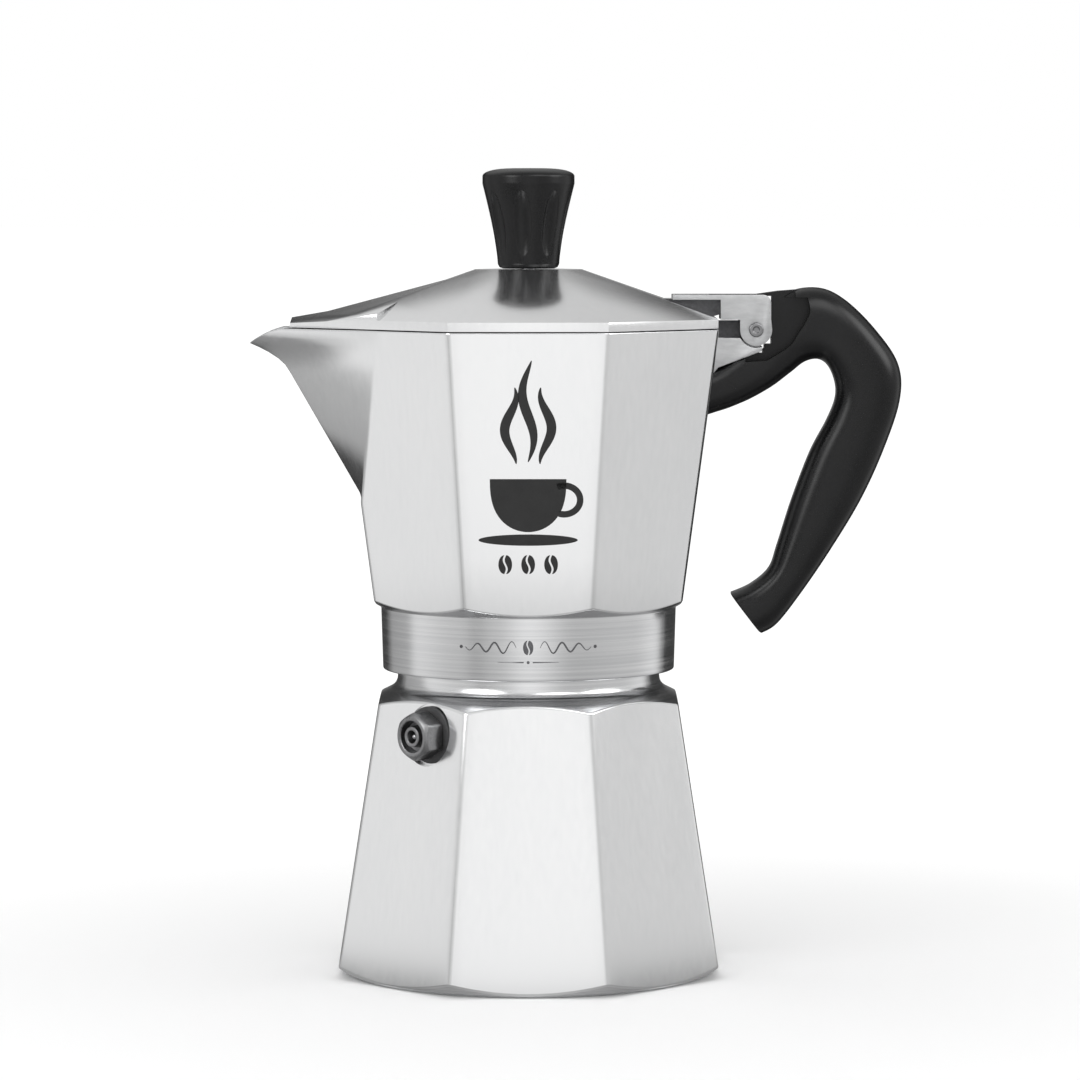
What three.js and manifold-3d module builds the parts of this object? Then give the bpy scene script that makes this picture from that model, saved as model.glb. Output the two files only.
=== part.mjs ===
// Stove-top moka pot, six-cup size, in millimetres.
// +Z is up, the origin is the centre of the boiler's underside. The spout points along -X,
// the handle along +X, and flats of the eight-sided body face the X and Y axes.
import * as THREE from "three";
import { mergeVertices } from "three/addons/utils/BufferGeometryUtils.js";
import Module from "manifold-3d";

const wasm = await Module();
wasm.setup();

// ---------------------------------------------------------------- driving dimensions
const SIDES = 8;
const HALF_FACET = Math.PI / SIDES;          // half the angle of one flat
const FLAT = Math.cos(HALF_FACET);           // flat distance = corner radius x FLAT
const ROUND = 48;                            // steps round a turned surface
const SMALL_ROUND = 24;                      // steps round a small turned surface

const SEAT_GAP = 0.3;                        // between pieces that rest on each other
const SLIDE_GAP = 0.5;                       // round a piece that slides or turns in another

// neck and screw thread between the boiler and the upper chamber
const NECK_BORE = 30.6;
const NECK_WALL = 3.9;                       // bore to the root of the boiler's thread
const NECK_STEP = 0.9;                       // the plain neck stands this far out from the thread's root
const NECK_FILLET = 2.4;
const THREAD_PITCH = 3;
const THREAD_DEPTH = 1.4;
const THREAD_GAP = 0.4;                      // radial gap at root and crest
const THREAD_TURNS = 2;
const THREAD_FOOT_WIDTH = 1.6;
const THREAD_CREST_WIDTH = 0.6;
const THREAD_LEAD = 1.4;                     // plain length above the boiler's thread
const THREAD_STEPS = 24;                     // for each turn

// boiler
const BOILER_FOOT_CORNER = 55.7;             // corner radius at the underside
const BOILER_HEIGHT = 91;                    // underside to the rim
const BOILER_WALL = 2.8;
const BOILER_FLOOR = 3;
const BOILER_INNER_CORNER = 4;               // rounding between its floor and its wall, inside
const FOOT_INSET = 5.6;                      // the underside's flat is this much inside its corners
const FOOT_BEVEL = 0.69;                     // rise over run of the turned edge of the foot
const SHOULDER_DROP = 17.2;                  // rim down to where the turned shoulder meets the corners
const SHOULDER_LEDGE = 8.123;                // the shoulder's corners stand this far out from the neck
const SHOULDER_SLOPE = 0.5;                  // rise over run of the turned shoulder
const INNER_SHOULDER_SLOPE = 0.8;
const RIM_CHAMFER = 0.6;

// collar of the upper chamber
const COLLAR_WALL = 3.1;                     // root of its thread to its outside, at its lower edge
const COLLAR_FLARE = 0.5;                    // radius gained from its lower edge to its top
const COLLAR_SPARE = 2.9;                    // length of the collar past the thread's turns

// coffee funnel
const SHEET = 0.8;
const FUNNEL_LEDGE = 2.6;                    // width of the flange on the boiler's rim
const FUNNEL_FLANGE = 1;
const BASKET_DEPTH = 20;
const FUNNEL_CONE_DEPTH = 11;
const FUNNEL_TUBE_RADIUS = 5.2;
const FUNNEL_TUBE_END = 6;                   // height of the tube's open end
const FUNNEL_STEP = 2.2;                     // ledge that the perforated disc lies on

// gasket and filter plate
const GASKET_THICKNESS = 2.8;
const GASKET_WIDTH = 6.8;
const GASKET_EDGE = 0.4;
const PLATE_THICKNESS = 1;
const PLATE_INSET = 1;                       // the plate is this much smaller than the gasket
const HOLE_RADIUS = 1;
const HOLE_SIDES = 6;
const HOLE_RINGS = 3;
const HOLE_MARGIN = 6;                       // from the outer ring of holes to the disc's edge

// upper chamber
const CHAMBER_HEIGHT = 72.6;                 // corners of its turned foot to the rim
const CHAMBER_TOP_CORNER = 54.9;             // corner radius at the rim
const CHAMBER_LEDGE = 4.784;                 // the foot's corners stand this far out from the collar
const CHAMBER_WALL = 2.6;
const CHAMBER_WEB = 2.7;                     // floor thickness over the strainer recess
const CHAMBER_FOOT_RISE = 4.6;               // underside of the web to the foot's corners
const FOOT_CUT_SLOPE = 0.56;
const STRAINER_RECESS = 2;                   // hollow over the filter plate
const STRAINER_EASE = 0.4;                   // the hollow is this much wider than the gasket's bore

// column inside the upper chamber
const COLUMN_DROP = 14.2;                    // rim down to the column's top
const COLUMN_RADIUS = 5.4;
const COLUMN_FOOT_RADIUS = 9;
const COLUMN_FOOT_HEIGHT = 6;
const COLUMN_BORE = 3.2;
const COLUMN_SLOT = 8;                       // height of the two side openings
const COLUMN_SLOT_HALF = 1.8;
const COLUMN_CAP = 3;
const COLUMN_CAP_ROUND = 2.4;

// spout
const SPOUT_HEIGHT = 46.2;                   // rim down to where the spout leaves the wall
const SPOUT_LIP_HEIGHT = 11.2;               // rim down to where the lip starts to flare
const SPOUT_LIP_FLARE = 6.335;               // reach that the flare adds
const SPOUT_LIP_SPREAD = 1.3;                // the flare goes on to this share of its height
const SPOUT_OVERHANG = 24.479;               // tip to the chamber's flat at the rim
const SPOUT_TIP_DROP = 4.2;                  // rim down to the tip
const SPOUT_LIP_RUN = 8.7;                   // length of the rim's fall towards the tip
const SPOUT_ROOT_SPREAD = 11.291;            // the cheeks' roots at the rim are this far past the corners
const SPOUT_NOSE = 0.6;                      // half-width of the blunt keel
const SPOUT_STEPS = 16;

// lid
const LID_INSET = 0.3;                       // its corners are this much inside the chamber's
const LID_RIM = 2.4;
const LID_RISE = 12.9;                       // eave to the small flat on top
const LID_TOP_CORNER = 15.5;
const LID_SHEET = 1.7;
const LID_TOP_WALL = 1.9;                    // thickness of the small flat on top
const LID_RIM_WALL = 1.9;
const COVER_RIDGE_X = 14.7;                  // where the spout cover's ridge starts
const COVER_RIDGE_DROP = 0.7;                // peak down to the ridge's start
const COVER_BEND_RISE = 1.707;               // eave up to the ridge's bend
const COVER_BEND_RUN = 9.8;                  // length of the ridge past its bend
const COVER_SIDE_FALL = 0.12;                // fall across the ridge for each mm sideways
const COVER_TIP_FALL = 0.173;
const COVER_BACK = 11.4;                     // spout's tip to the cover's end
const COVER_END_HALF = 10.5;
const COVER_EAVE_IN = 10.643;                // lid's flat in to where the cover's edge leaves the eave
const COVER_ROOT_IN = 16.143;
const COVER_ROOT_NARROWING = 14.034;

// lid hinge
const PIN_OUT = 10.657;                      // lid's flat to the pin's axis
const PIN_DROP = 0.5;                        // chamber's rim down to the pin's axis
const PIN_RADIUS = 1.35;
const PIN_CLEARANCE = 0.2;
const PIN_HEAD_RADIUS = 1.9;
const PIN_HEAD = 0.7;
const ARM_RISE = 6.2;                        // eave to the top of the arm
const ARM_PLATE = 1.3;
const ARM_HALF = 7;
const ARM_PAST_PIN = 4;
const ARM_END_ROUND = 2.2;
const ARM_LENGTH = 22.4;                     // pin back to where the arm starts
const ARM_SLOT_LENGTH = 12.5;                // pin back to the end of the slot
const ARM_RIB_HALF = 5.6;
const CHEEK_LENGTH = 9.5;                    // pin back to the cheeks' inner ends
const CHEEK_DROP = 0.5;                      // eave down to the cheeks' lower edge
const SLOT_HALF = 4.6;
const EAR_RADIUS = 4.3;
const LUG_EYE_RADIUS = 3.9;
const LUG_FLOOR = 0.9;                       // metal under the ears' room
const LUG_WEDGE = 4.4;                       // the lug's underside falls this far towards the wall
const LUG_PAST_PIN = 1.5;

// handle
const HANDLE_HALF = 9.2;                     // half the width of the grip
const HANDLE_SQUARENESS = 0.72;              // 1 is an oval section, smaller is squarer
const HANDLE_SECTION = 14;                   // points round the section
const HANDLE_STEPS = 38;
const HANDLE_WEB_HALF = 3.4;                 // the web that lies between the lid's cheeks
const HANDLE_RIM_HALF = 4.1;
const TONGUE_PAST_PIN = 0.5;
const HANDLE_RIM_DROP = 0.7;                 // arm's top down to the underside of the rim
const WEB_GAP = 0.7;                         // ear to the web's front edge
const HANDLE_SCREW_BACK = 4.9;               // pin back to the handle screw
const SCREW_RADIUS = 2;
const SCREW_CLEARANCE = 0.2;
const SCREW_HEAD_RADIUS = 3.6;
const SCREW_HEAD = 2.4;
const SCREW_SINK = 5;                        // depth of the head's counterbore
const SCREW_GRIP = 0.8;                      // how far the handle screw stands in the lug

// knob
const KNOB_HEIGHT = 26.9;
const KNOB_DOME = 2.2;
const KNOB_RIM = 2;                          // upright edge under the dome
const KNOB_RIM_RADIUS = 12.4;
const KNOB_NECK_RADIUS = 8.3;
const KNOB_FOOT_RADIUS = 7.7;
const KNOB_FOOT = 1.2;                       // height of the chamfer at its foot
const KNOB_FLARE = 1.35;                     // above 1 the flank is hollow
const FLUTES = 8;
const FLUTE_TURN = -9;                       // degrees from the front to the first flute
const FLUTE_LENGTH = 10.6;                   // half-height of a flute
const FLUTE_WIDTH = 3.3;
const FLUTE_DEPTH = 1.5;
const INSERT_RADIUS = 3.6;
const INSERT_LENGTH = 9;
const KNOB_SCREW_LENGTH = 9;

// safety valve
const VALVE_DROP = 6.6;                      // shoulder's corners down to the valve's axis
const VALVE_SIDE = 3.6;                      // along the flat, towards the front
const VALVE_ACROSS = 11.4;                   // across the flats of the hexagon
const VALVE_HEX = 6.2;                       // length of the hexagon
const VALVE_FACE_RADIUS = 6;
const VALVE_SHANK_RADIUS = 4.6;
const VALVE_SHANK = 8.4;                     // from the seat into the boiler
const VALVE_SEAT_RADIUS = 8.2;
const VALVE_SEAT_CUT = 1.5;                  // depth of the flat seat below the wall's surface
const VALVE_MOUTH_RADIUS = 4.1;
const VALVE_MOUTH = 2.6;
const VALVE_TUBE_RADIUS = 2.7;
const VALVE_BORE = 3.4;
const VALVE_WEB = 1.2;                       // mouth's floor down to the spring's room
const VALVE_PIN_RADIUS = 1.1;
const VALVE_PIN_SINK = 0.6;                  // the pin's end lies this far inside the face
const VALVE_DISC = 1;
const VALVE_DISC_DEPTH = 4.2;                // shank's end out to the disc's front
const VALVE_SEAT_BORE = 1.6;
const VALVE_WIRE = 0.35;
const VALVE_COILS = 4;
const WASHER = 0.8;
const WASHER_EASE = 0.6;                     // the washer is this much smaller than its seat

const BEYOND = 20;                           // a cutting tool reaches this far past what it cuts
const WIDE = 90;                             // wider than the pot, for tools that trim all of it

// ---------------------------------------------------------------- materials
function material(color, roughness, metalness) {
  return new THREE.MeshStandardMaterial({ color, roughness, metalness });
}
const CAST = material(0xd4d5d6, 0.22, 1);
const SHEET_METAL = material(0xc9cacc, 0.35, 1);
const STEEL = material(0xb4b5b7, 0.3, 1);
const BRASS = material(0xc0a468, 0.35, 1);
const BLACK = material(0x17181a, 0.4, 0);
const RUBBER = material(0xe9e6de, 0.7, 0);

// ---------------------------------------------------------------- solid-building helpers
const V2 = (x, y) => new THREE.Vector2(x, y);

function solid(geometry) {
  const bare = geometry.index ? geometry.toNonIndexed() : geometry.clone();
  bare.deleteAttribute("normal");
  bare.deleteAttribute("uv");
  const merged = mergeVertices(bare, 1e-4);
  const vertProperties = new Float32Array(merged.attributes.position.array);
  const corners = Array.from(merged.index.array);
  const kept = [];
  for (let i = 0; i < corners.length; i += 3) {
    const [a, b, c] = corners.slice(i, i + 3);
    if (a !== b && b !== c && c !== a) kept.push(a, b, c);
  }
  const build = (list) => new wasm.Manifold(
    new wasm.Mesh({ numProp: 3, vertProperties, triVerts: new Uint32Array(list) }));
  const asMade = build(kept);
  if (asMade.volume() > 0) return asMade;
  const insideOut = [];
  for (let i = 0; i < kept.length; i += 3) insideOut.push(kept[i], kept[i + 2], kept[i + 1]);
  return build(insideOut);
}

function add(...pieces) {
  return pieces.reduce((whole, piece) => whole.add(piece));
}

function cut(body, ...tools) {
  return tools.reduce((whole, tool) => whole.subtract(tool), body);
}

function meshOf(name, body, look) {
  const made = body.getMesh();
  const geometry = new THREE.BufferGeometry();
  const positions = new Float32Array(made.numVert * 3);
  for (let v = 0; v < made.numVert; v += 1) {
    for (let k = 0; k < 3; k += 1) positions[v * 3 + k] = made.vertProperties[v * made.numProp + k];
  }
  geometry.setAttribute("position", new THREE.BufferAttribute(positions, 3));
  geometry.setIndex(new THREE.BufferAttribute(new Uint32Array(made.triVerts), 1));
  geometry.computeVertexNormals();
  const mesh = new THREE.Mesh(geometry, look);
  mesh.name = name;
  return mesh;
}

// A profile of [radius, height] pairs, turned round the Z axis.
function turned(profile, steps = ROUND) {
  const points = profile.map(([radius, height]) => V2(radius, height));
  const closesOnAxis = profile[0][0] === 0 && profile.at(-1)[0] === 0;
  if (!closesOnAxis) points.push(points[0].clone());
  return solid(new THREE.LatheGeometry(points, steps).rotateX(Math.PI / 2));
}

function rod(radius, low, high, steps = SMALL_ROUND) {
  return turned([[0, low], [radius, low], [radius, high], [0, high]], steps);
}

// An eight-sided frustum with flats facing the axes; radii are to the corners.
function facets(lowRadius, highRadius, low, high) {
  const shape = new THREE.CylinderGeometry(highRadius, lowRadius, high - low, SIDES, 1, false, HALF_FACET);
  return solid(shape.rotateX(Math.PI / 2).translate(0, 0, (low + high) / 2));
}

function box(xLow, xHigh, yLow, yHigh, zLow, zHigh) {
  const shape = new THREE.BoxGeometry(xHigh - xLow, yHigh - yLow, zHigh - zLow);
  return solid(shape.translate((xLow + xHigh) / 2, (yLow + yHigh) / 2, (zLow + zHigh) / 2));
}

// An outline in the XZ plane, made a slab that reaches the same way to both sides of it.
function slab(shape, half, options = {}) {
  const settings = { depth: 2 * half, bevelEnabled: false, curveSegments: 10, ...options };
  const geometry = new THREE.ExtrudeGeometry(shape, settings);
  return solid(geometry.translate(0, 0, -settings.depth / 2).rotateX(Math.PI / 2));
}

function outline(points) {
  return new THREE.Shape(points.map(([x, z]) => V2(x, z)));
}

// An outline in the XY plane, raised between two heights.
function raised(points, low, high) {
  const geometry = new THREE.ExtrudeGeometry(outline(points), { depth: high - low, bevelEnabled: false });
  return solid(geometry.translate(0, 0, low));
}

// Moves every point of a geometry by a rule, to bend a straight shape into its place.
function reshaped(geometry, rule) {
  const bent = geometry.clone();
  const points = bent.attributes.position;
  for (let i = 0; i < points.count; i += 1) {
    const [x, y, z] = rule(points.getX(i), points.getY(i), points.getZ(i));
    points.setXYZ(i, x, y, z);
  }
  return solid(bent);
}

// A body whose section is a polygon that changes with height: pointAt(corner, z) gives each corner.
function lofted(corners, pointAt, low, high, steps) {
  const straight = new THREE.ExtrudeGeometry(new THREE.Shape(ringOfPoints(1, corners)),
    { depth: 1, steps, bevelEnabled: false });
  return reshaped(straight, (x, y, along) => {
    const corner = Math.round(Math.atan2(y, x) / (2 * Math.PI) * corners + corners) % corners;
    const z = low + (high - low) * along;
    return [...pointAt(corner, z), z];
  });
}

function ringOfPoints(radius, count, x = 0, y = 0) {
  return Array.from({ length: count }, (_, i) => {
    const angle = 2 * Math.PI * i / count;
    return V2(x + radius * Math.cos(angle), y + radius * Math.sin(angle));
  });
}

function mirroredInY(points) {
  return [...points, ...points.map(([x, y]) => [x, -y]).reverse()];
}

// One ridge of a right-hand thread, from its foot radius to its crest radius.
function threadRidge(footRadius, crestRadius, low) {
  const halfFoot = THREAD_FOOT_WIDTH / 2;
  const halfCrest = THREAD_CREST_WIDTH / 2;
  const section = outline([
    [footRadius, -halfFoot], [crestRadius, -halfCrest], [crestRadius, halfCrest], [footRadius, halfFoot]]);
  const steps = Math.round(THREAD_TURNS * THREAD_STEPS);
  const straight = new THREE.ExtrudeGeometry(section, { depth: 1, steps, bevelEnabled: false });
  return reshaped(straight, (radius, height, along) => {
    const angle = 2 * Math.PI * THREAD_TURNS * along;
    const rise = THREAD_PITCH * THREAD_TURNS * along;
    return [radius * Math.cos(angle), radius * Math.sin(angle), low + height + rise];
  });
}

// A disc with holes in rings about its centre: 1, 6, 12, 18 and so on.
function perforated(radius, thickness, low, spacing) {
  const disc = new THREE.Shape(ringOfPoints(radius, ROUND));
  for (let ring = 0; ring <= HOLE_RINGS; ring += 1) {
    const count = Math.max(1, 6 * ring);
    for (let i = 0; i < count; i += 1) {
      const angle = 2 * Math.PI * i / count;
      const x = ring * spacing * Math.cos(angle);
      const y = ring * spacing * Math.sin(angle);
      disc.holes.push(new THREE.Path(ringOfPoints(HOLE_RADIUS, HOLE_SIDES, x, y)));
    }
  }
  const options = { depth: thickness, bevelEnabled: false };
  return solid(new THREE.ExtrudeGeometry(disc, options).translate(0, 0, low));
}

// ---------------------------------------------------------------- places worked out from the sizes
// radii at the neck, from the bore outward
const threadRoot = NECK_BORE + NECK_WALL;
const neckRadius = threadRoot + NECK_STEP;
const collarBore = threadRoot + THREAD_GAP;
const collarRoot = threadRoot + THREAD_DEPTH + THREAD_GAP;
const collarLowRadius = collarRoot + COLLAR_WALL;
const collarTopRadius = collarLowRadius + COLLAR_FLARE;
const basketRadius = NECK_BORE - SLIDE_GAP;
const gasketRadius = collarBore - SLIDE_GAP;
const gasketBore = gasketRadius - GASKET_WIDTH;
const recessRadius = gasketBore + STRAINER_EASE;

// boiler
const shoulderHeight = BOILER_HEIGHT - SHOULDER_DROP;
const shoulderCorner = neckRadius + SHOULDER_LEDGE;
const boilerTaper = (BOILER_FOOT_CORNER - shoulderCorner) / shoulderHeight;
const boilerCorner = (z) => BOILER_FOOT_CORNER - boilerTaper * z;
const collarBottom = BOILER_HEIGHT - THREAD_PITCH * THREAD_TURNS - COLLAR_SPARE;

// heights stacked on the boiler's rim
const flangeLow = BOILER_HEIGHT + SEAT_GAP;
const flangeTop = flangeLow + FUNNEL_FLANGE;
const gasketLow = flangeTop + SEAT_GAP;
const gasketTop = gasketLow + GASKET_THICKNESS;
const plateLow = gasketTop + SEAT_GAP;
const plateTop = plateLow + PLATE_THICKNESS;
const webLow = plateTop + SEAT_GAP;
const recessTop = webLow + STRAINER_RECESS;
const floorTop = recessTop + CHAMBER_WEB;
const basketFloor = flangeTop - BASKET_DEPTH;
const chamberFoot = webLow + CHAMBER_FOOT_RISE;
const chamberTop = chamberFoot + CHAMBER_HEIGHT;
const columnTop = chamberTop - COLUMN_DROP;
const lidLow = chamberTop + SEAT_GAP;
const lidEave = lidLow + LID_RIM;
const lidPeak = lidEave + LID_RISE;

// upper chamber and spout
const chamberFootCorner = collarTopRadius + CHAMBER_LEDGE;
const chamberTaper = (CHAMBER_TOP_CORNER - chamberFootCorner) / CHAMBER_HEIGHT;
const chamberCorner = (z) => chamberFootCorner + chamberTaper * (z - chamberFoot);
const chamberFlat = (z) => chamberCorner(z) * FLAT;
const spoutFoot = chamberTop - SPOUT_HEIGHT;
const spoutLipStart = chamberTop - SPOUT_LIP_HEIGHT;
const spoutTip = chamberTop - SPOUT_TIP_DROP;
const spoutReach = chamberFlat(chamberTop) + SPOUT_OVERHANG;
const spoutDip = spoutReach - SPOUT_LIP_RUN;

// lid and its hinge
const lidCorner = CHAMBER_TOP_CORNER - LID_INSET;
const lidFlat = lidCorner * FLAT;
const lidPitch = LID_RISE / ((lidCorner - LID_TOP_CORNER) * FLAT);
const lidRoof = lidPeak - LID_TOP_WALL;                    // inner face of the lid's top
const pinX = lidFlat + PIN_OUT;
const pinZ = chamberTop - PIN_DROP;
const armTop = lidEave + ARM_RISE;
const armEnd = pinX + ARM_PAST_PIN;
const cheekFoot = lidEave - CHEEK_DROP;
const earRoom = EAR_RADIUS + SLIDE_GAP;
const lugLowOut = pinZ - earRoom - LUG_FLOOR;
const lugLowIn = lugLowOut - LUG_WEDGE;
const lugReach = pinX + LUG_PAST_PIN;
const handleRimLow = armTop - HANDLE_RIM_DROP;
const handleScrewX = pinX - HANDLE_SCREW_BACK;
const knobLow = lidPeak + SEAT_GAP;
const knobTop = knobLow + KNOB_HEIGHT;
const valveHeight = shoulderHeight - VALVE_DROP;

// ---------------------------------------------------------------- safety valve placing
const valveFlat = boilerCorner(valveHeight) * FLAT;       // the wall's flat at the valve
const valveSeatPlane = valveFlat - VALVE_SEAT_CUT;
const valveFrame = new THREE.Group();
const valveAngle = -3 * Math.PI / 4;                       // outward direction of its flat
valveFrame.rotation.z = valveAngle;
valveFrame.position.set(
  valveSeatPlane * Math.cos(valveAngle) - VALVE_SIDE * Math.sin(valveAngle),
  valveSeatPlane * Math.sin(valveAngle) + VALVE_SIDE * Math.cos(valveAngle),
  valveHeight);
valveFrame.updateMatrix();

// A body turned round the valve's own axis; its heights run outward from the seat.
function valveTurned(profile, steps = SMALL_ROUND) {
  return turned(profile, steps).rotate([0, 90, 0]);
}

function inValvePlace(body) {
  return body.transform(valveFrame.matrix.elements);
}

// ---------------------------------------------------------------- boiler
const boilerThreadLow = BOILER_HEIGHT - THREAD_LEAD - THREAD_PITCH * THREAD_TURNS;
const shoulder = (radius) => shoulderHeight + SHOULDER_SLOPE * (shoulderCorner - radius);

function neckFillet() {
  const steps = 5;
  const radius = neckRadius + NECK_FILLET;
  const height = shoulder(radius) + NECK_FILLET;
  const curve = Array.from({ length: steps }, (_, i) => {
    const angle = Math.PI / 2 * i / steps;
    return [radius - NECK_FILLET * Math.sin(angle), height - NECK_FILLET * Math.cos(angle)];
  });
  return [...curve, [neckRadius, height]];
}

function boilerHollow() {
  const innerRadius = (z) => boilerCorner(z) * FLAT - BOILER_WALL;
  const top = shoulderHeight - BOILER_WALL;
  const round = BOILER_INNER_CORNER;
  const eased = 0.3 * round;
  return turned([
    [0, BOILER_FLOOR], [innerRadius(BOILER_FLOOR) - round, BOILER_FLOOR],
    [innerRadius(BOILER_FLOOR) - eased, BOILER_FLOOR + eased],
    [innerRadius(BOILER_FLOOR + round), BOILER_FLOOR + round], [innerRadius(top), top],
    [NECK_BORE, top + INNER_SHOULDER_SLOPE * (innerRadius(top) - NECK_BORE)],
    [NECK_BORE, BOILER_HEIGHT + BEYOND], [0, BOILER_HEIGHT + BEYOND]]);
}

function boiler() {
  const footRadius = BOILER_FOOT_CORNER - FOOT_INSET;
  const neckTop = collarBottom - SEAT_GAP;
  const envelope = turned([
    [0, 0], [footRadius, 0], [WIDE, FOOT_BEVEL * (WIDE - footRadius)], [WIDE, shoulderHeight],
    [shoulderCorner, shoulderHeight], ...neckFillet(), [neckRadius, neckTop],
    [threadRoot, neckTop + NECK_STEP], [threadRoot, BOILER_HEIGHT - RIM_CHAMFER],
    [threadRoot - RIM_CHAMFER, BOILER_HEIGHT], [0, BOILER_HEIGHT]]);
  const outside = add(facets(boilerCorner(-1), boilerCorner(BOILER_HEIGHT), -1, BOILER_HEIGHT),
    rod(neckRadius + NECK_FILLET, shoulderHeight, BOILER_HEIGHT + 1, ROUND));
  const ridge = threadRidge(threadRoot - SEAT_GAP, threadRoot + THREAD_DEPTH, boilerThreadLow);
  const valveHole = valveTurned([[0, -BEYOND], [VALVE_SHANK_RADIUS + SEAT_GAP, -BEYOND],
    [VALVE_SHANK_RADIUS + SEAT_GAP, 0], [VALVE_SEAT_RADIUS, 0], [VALVE_SEAT_RADIUS, BEYOND], [0, BEYOND]]);
  return cut(add(envelope.intersect(outside), ridge), boilerHollow(), inValvePlace(valveHole));
}

// ---------------------------------------------------------------- funnel, gasket, plate
function funnel() {
  const flangeRadius = NECK_BORE + FUNNEL_LEDGE;
  const floorInner = basketFloor + SHEET;
  const coneTop = basketRadius - SHEET - FUNNEL_STEP;
  const coneEnd = basketFloor - FUNNEL_CONE_DEPTH;
  return turned([
    [basketRadius - SHEET, flangeTop], [flangeRadius, flangeTop], [flangeRadius, flangeLow],
    [basketRadius, flangeLow], [basketRadius, basketFloor], [coneTop, basketFloor],
    [FUNNEL_TUBE_RADIUS, coneEnd], [FUNNEL_TUBE_RADIUS, FUNNEL_TUBE_END],
    [FUNNEL_TUBE_RADIUS - SHEET, FUNNEL_TUBE_END], [FUNNEL_TUBE_RADIUS - SHEET, coneEnd + SHEET / 2],
    [coneTop - SHEET / 2, floorInner], [basketRadius - SHEET, floorInner]]);
}

function funnelDisc() {
  const low = basketFloor + SHEET + SEAT_GAP;
  const radius = basketRadius - SHEET - SEAT_GAP;
  return perforated(radius, SHEET, low, (radius - HOLE_MARGIN) / HOLE_RINGS);
}

function gasket() {
  const edge = GASKET_EDGE;
  return turned([
    [gasketBore + edge, gasketLow], [gasketRadius - edge, gasketLow], [gasketRadius, gasketLow + edge],
    [gasketRadius, gasketTop - edge], [gasketRadius - edge, gasketTop], [gasketBore + edge, gasketTop],
    [gasketBore, gasketTop - edge], [gasketBore, gasketLow + edge]]);
}

function filterPlate() {
  const spacing = (recessRadius - HOLE_MARGIN / 2) / HOLE_RINGS;
  return perforated(gasketRadius - PLATE_INSET, PLATE_THICKNESS, plateLow, spacing);
}

// ---------------------------------------------------------------- upper chamber
// The keel's reach at a height: straight, then flaring to the pouring lip.
function keelReach(z) {
  const slope = (spoutReach - SPOUT_LIP_FLARE - chamberFlat(spoutFoot)) / (spoutTip - spoutFoot);
  const straight = chamberFlat(spoutFoot) + slope * (z - spoutFoot);
  if (z <= spoutLipStart) return straight;
  const rise = Math.min(SPOUT_LIP_SPREAD, (z - spoutLipStart) / (spoutTip - spoutLipStart));
  return straight + SPOUT_LIP_FLARE * rise ** 2;
}

// Half-width of the spout where its cheeks meet the diagonal flats.
function spoutRootHalf(z) {
  const low = chamberCorner(spoutFoot) * Math.sin(HALF_FACET);
  const high = CHAMBER_TOP_CORNER * Math.sin(HALF_FACET) + SPOUT_ROOT_SPREAD;
  return low + (high - low) * (z - spoutFoot) / SPOUT_HEIGHT;
}

// Half of the section at a height, moved inward by a wall: the keel, then the corners on the +Y side.
function spoutHalfSection(z, wall) {
  const flat = chamberFlat(z);
  const half = spoutRootHalf(z);
  const reach = flat * Math.SQRT2 - half;              // how far out the cheek's root lies
  const keel = keelReach(z);
  const slope = (keel - reach) / half;                 // the cheek is x = slope y - keel
  const innerKeel = keel - wall * Math.hypot(1, slope);
  const innerHalf = ((flat - wall) * Math.SQRT2 - innerKeel) / (1 - slope);
  const innerReach = innerKeel - slope * innerHalf;
  const corner = chamberCorner(z) - wall / FLAT;
  const rest = [2, 1, 0].map((i) => {
    const angle = HALF_FACET * (2 * i + 1);
    return [corner * Math.cos(angle), corner * Math.sin(angle)];
  });
  return [[-innerKeel, SPOUT_NOSE], [-innerReach, innerHalf], ...rest];
}

// The upper part of the body with its spout, or the room in it when it has a wall.
function spoutBody(wall, low, high) {
  const corners = 10;
  return lofted(corners, (corner, z) => {
    const half = spoutHalfSection(z, wall);
    const [x, y] = half[Math.min(corner, corners - 1 - corner)];
    return [x, corner < corners / 2 ? -y : y];
  }, low, high, SPOUT_STEPS);
}

function spoutRimCutter() {
  const easing = 3.5;
  const dip = 0.4;
  const shape = new THREE.Shape();
  shape.moveTo(-spoutDip, chamberTop);
  shape.quadraticCurveTo(-spoutDip - easing, chamberTop - dip, -spoutReach, spoutTip);
  shape.lineTo(-WIDE, spoutTip - (WIDE - spoutReach) / 3);
  shape.lineTo(-WIDE, chamberTop + BEYOND);
  shape.lineTo(WIDE, chamberTop + BEYOND);
  shape.lineTo(WIDE, chamberTop);
  return slab(shape, WIDE, { curveSegments: 6 });
}

const columnWaist = floorTop + COLUMN_FOOT_HEIGHT;

function column() {
  const blend = COLUMN_FOOT_HEIGHT / 3;
  const flare = 1.6;
  const waist = 0.6;
  const capEase = 0.3 * COLUMN_CAP_ROUND;
  return turned([
    [0, recessTop], [COLUMN_FOOT_RADIUS, recessTop], [COLUMN_FOOT_RADIUS, floorTop],
    [COLUMN_RADIUS + flare, floorTop + blend], [COLUMN_RADIUS + waist, columnWaist],
    [COLUMN_RADIUS, columnTop - COLUMN_CAP_ROUND], [COLUMN_RADIUS - capEase, columnTop - capEase],
    [COLUMN_RADIUS - COLUMN_CAP_ROUND, columnTop], [0, columnTop]], SMALL_ROUND);
}

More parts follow.
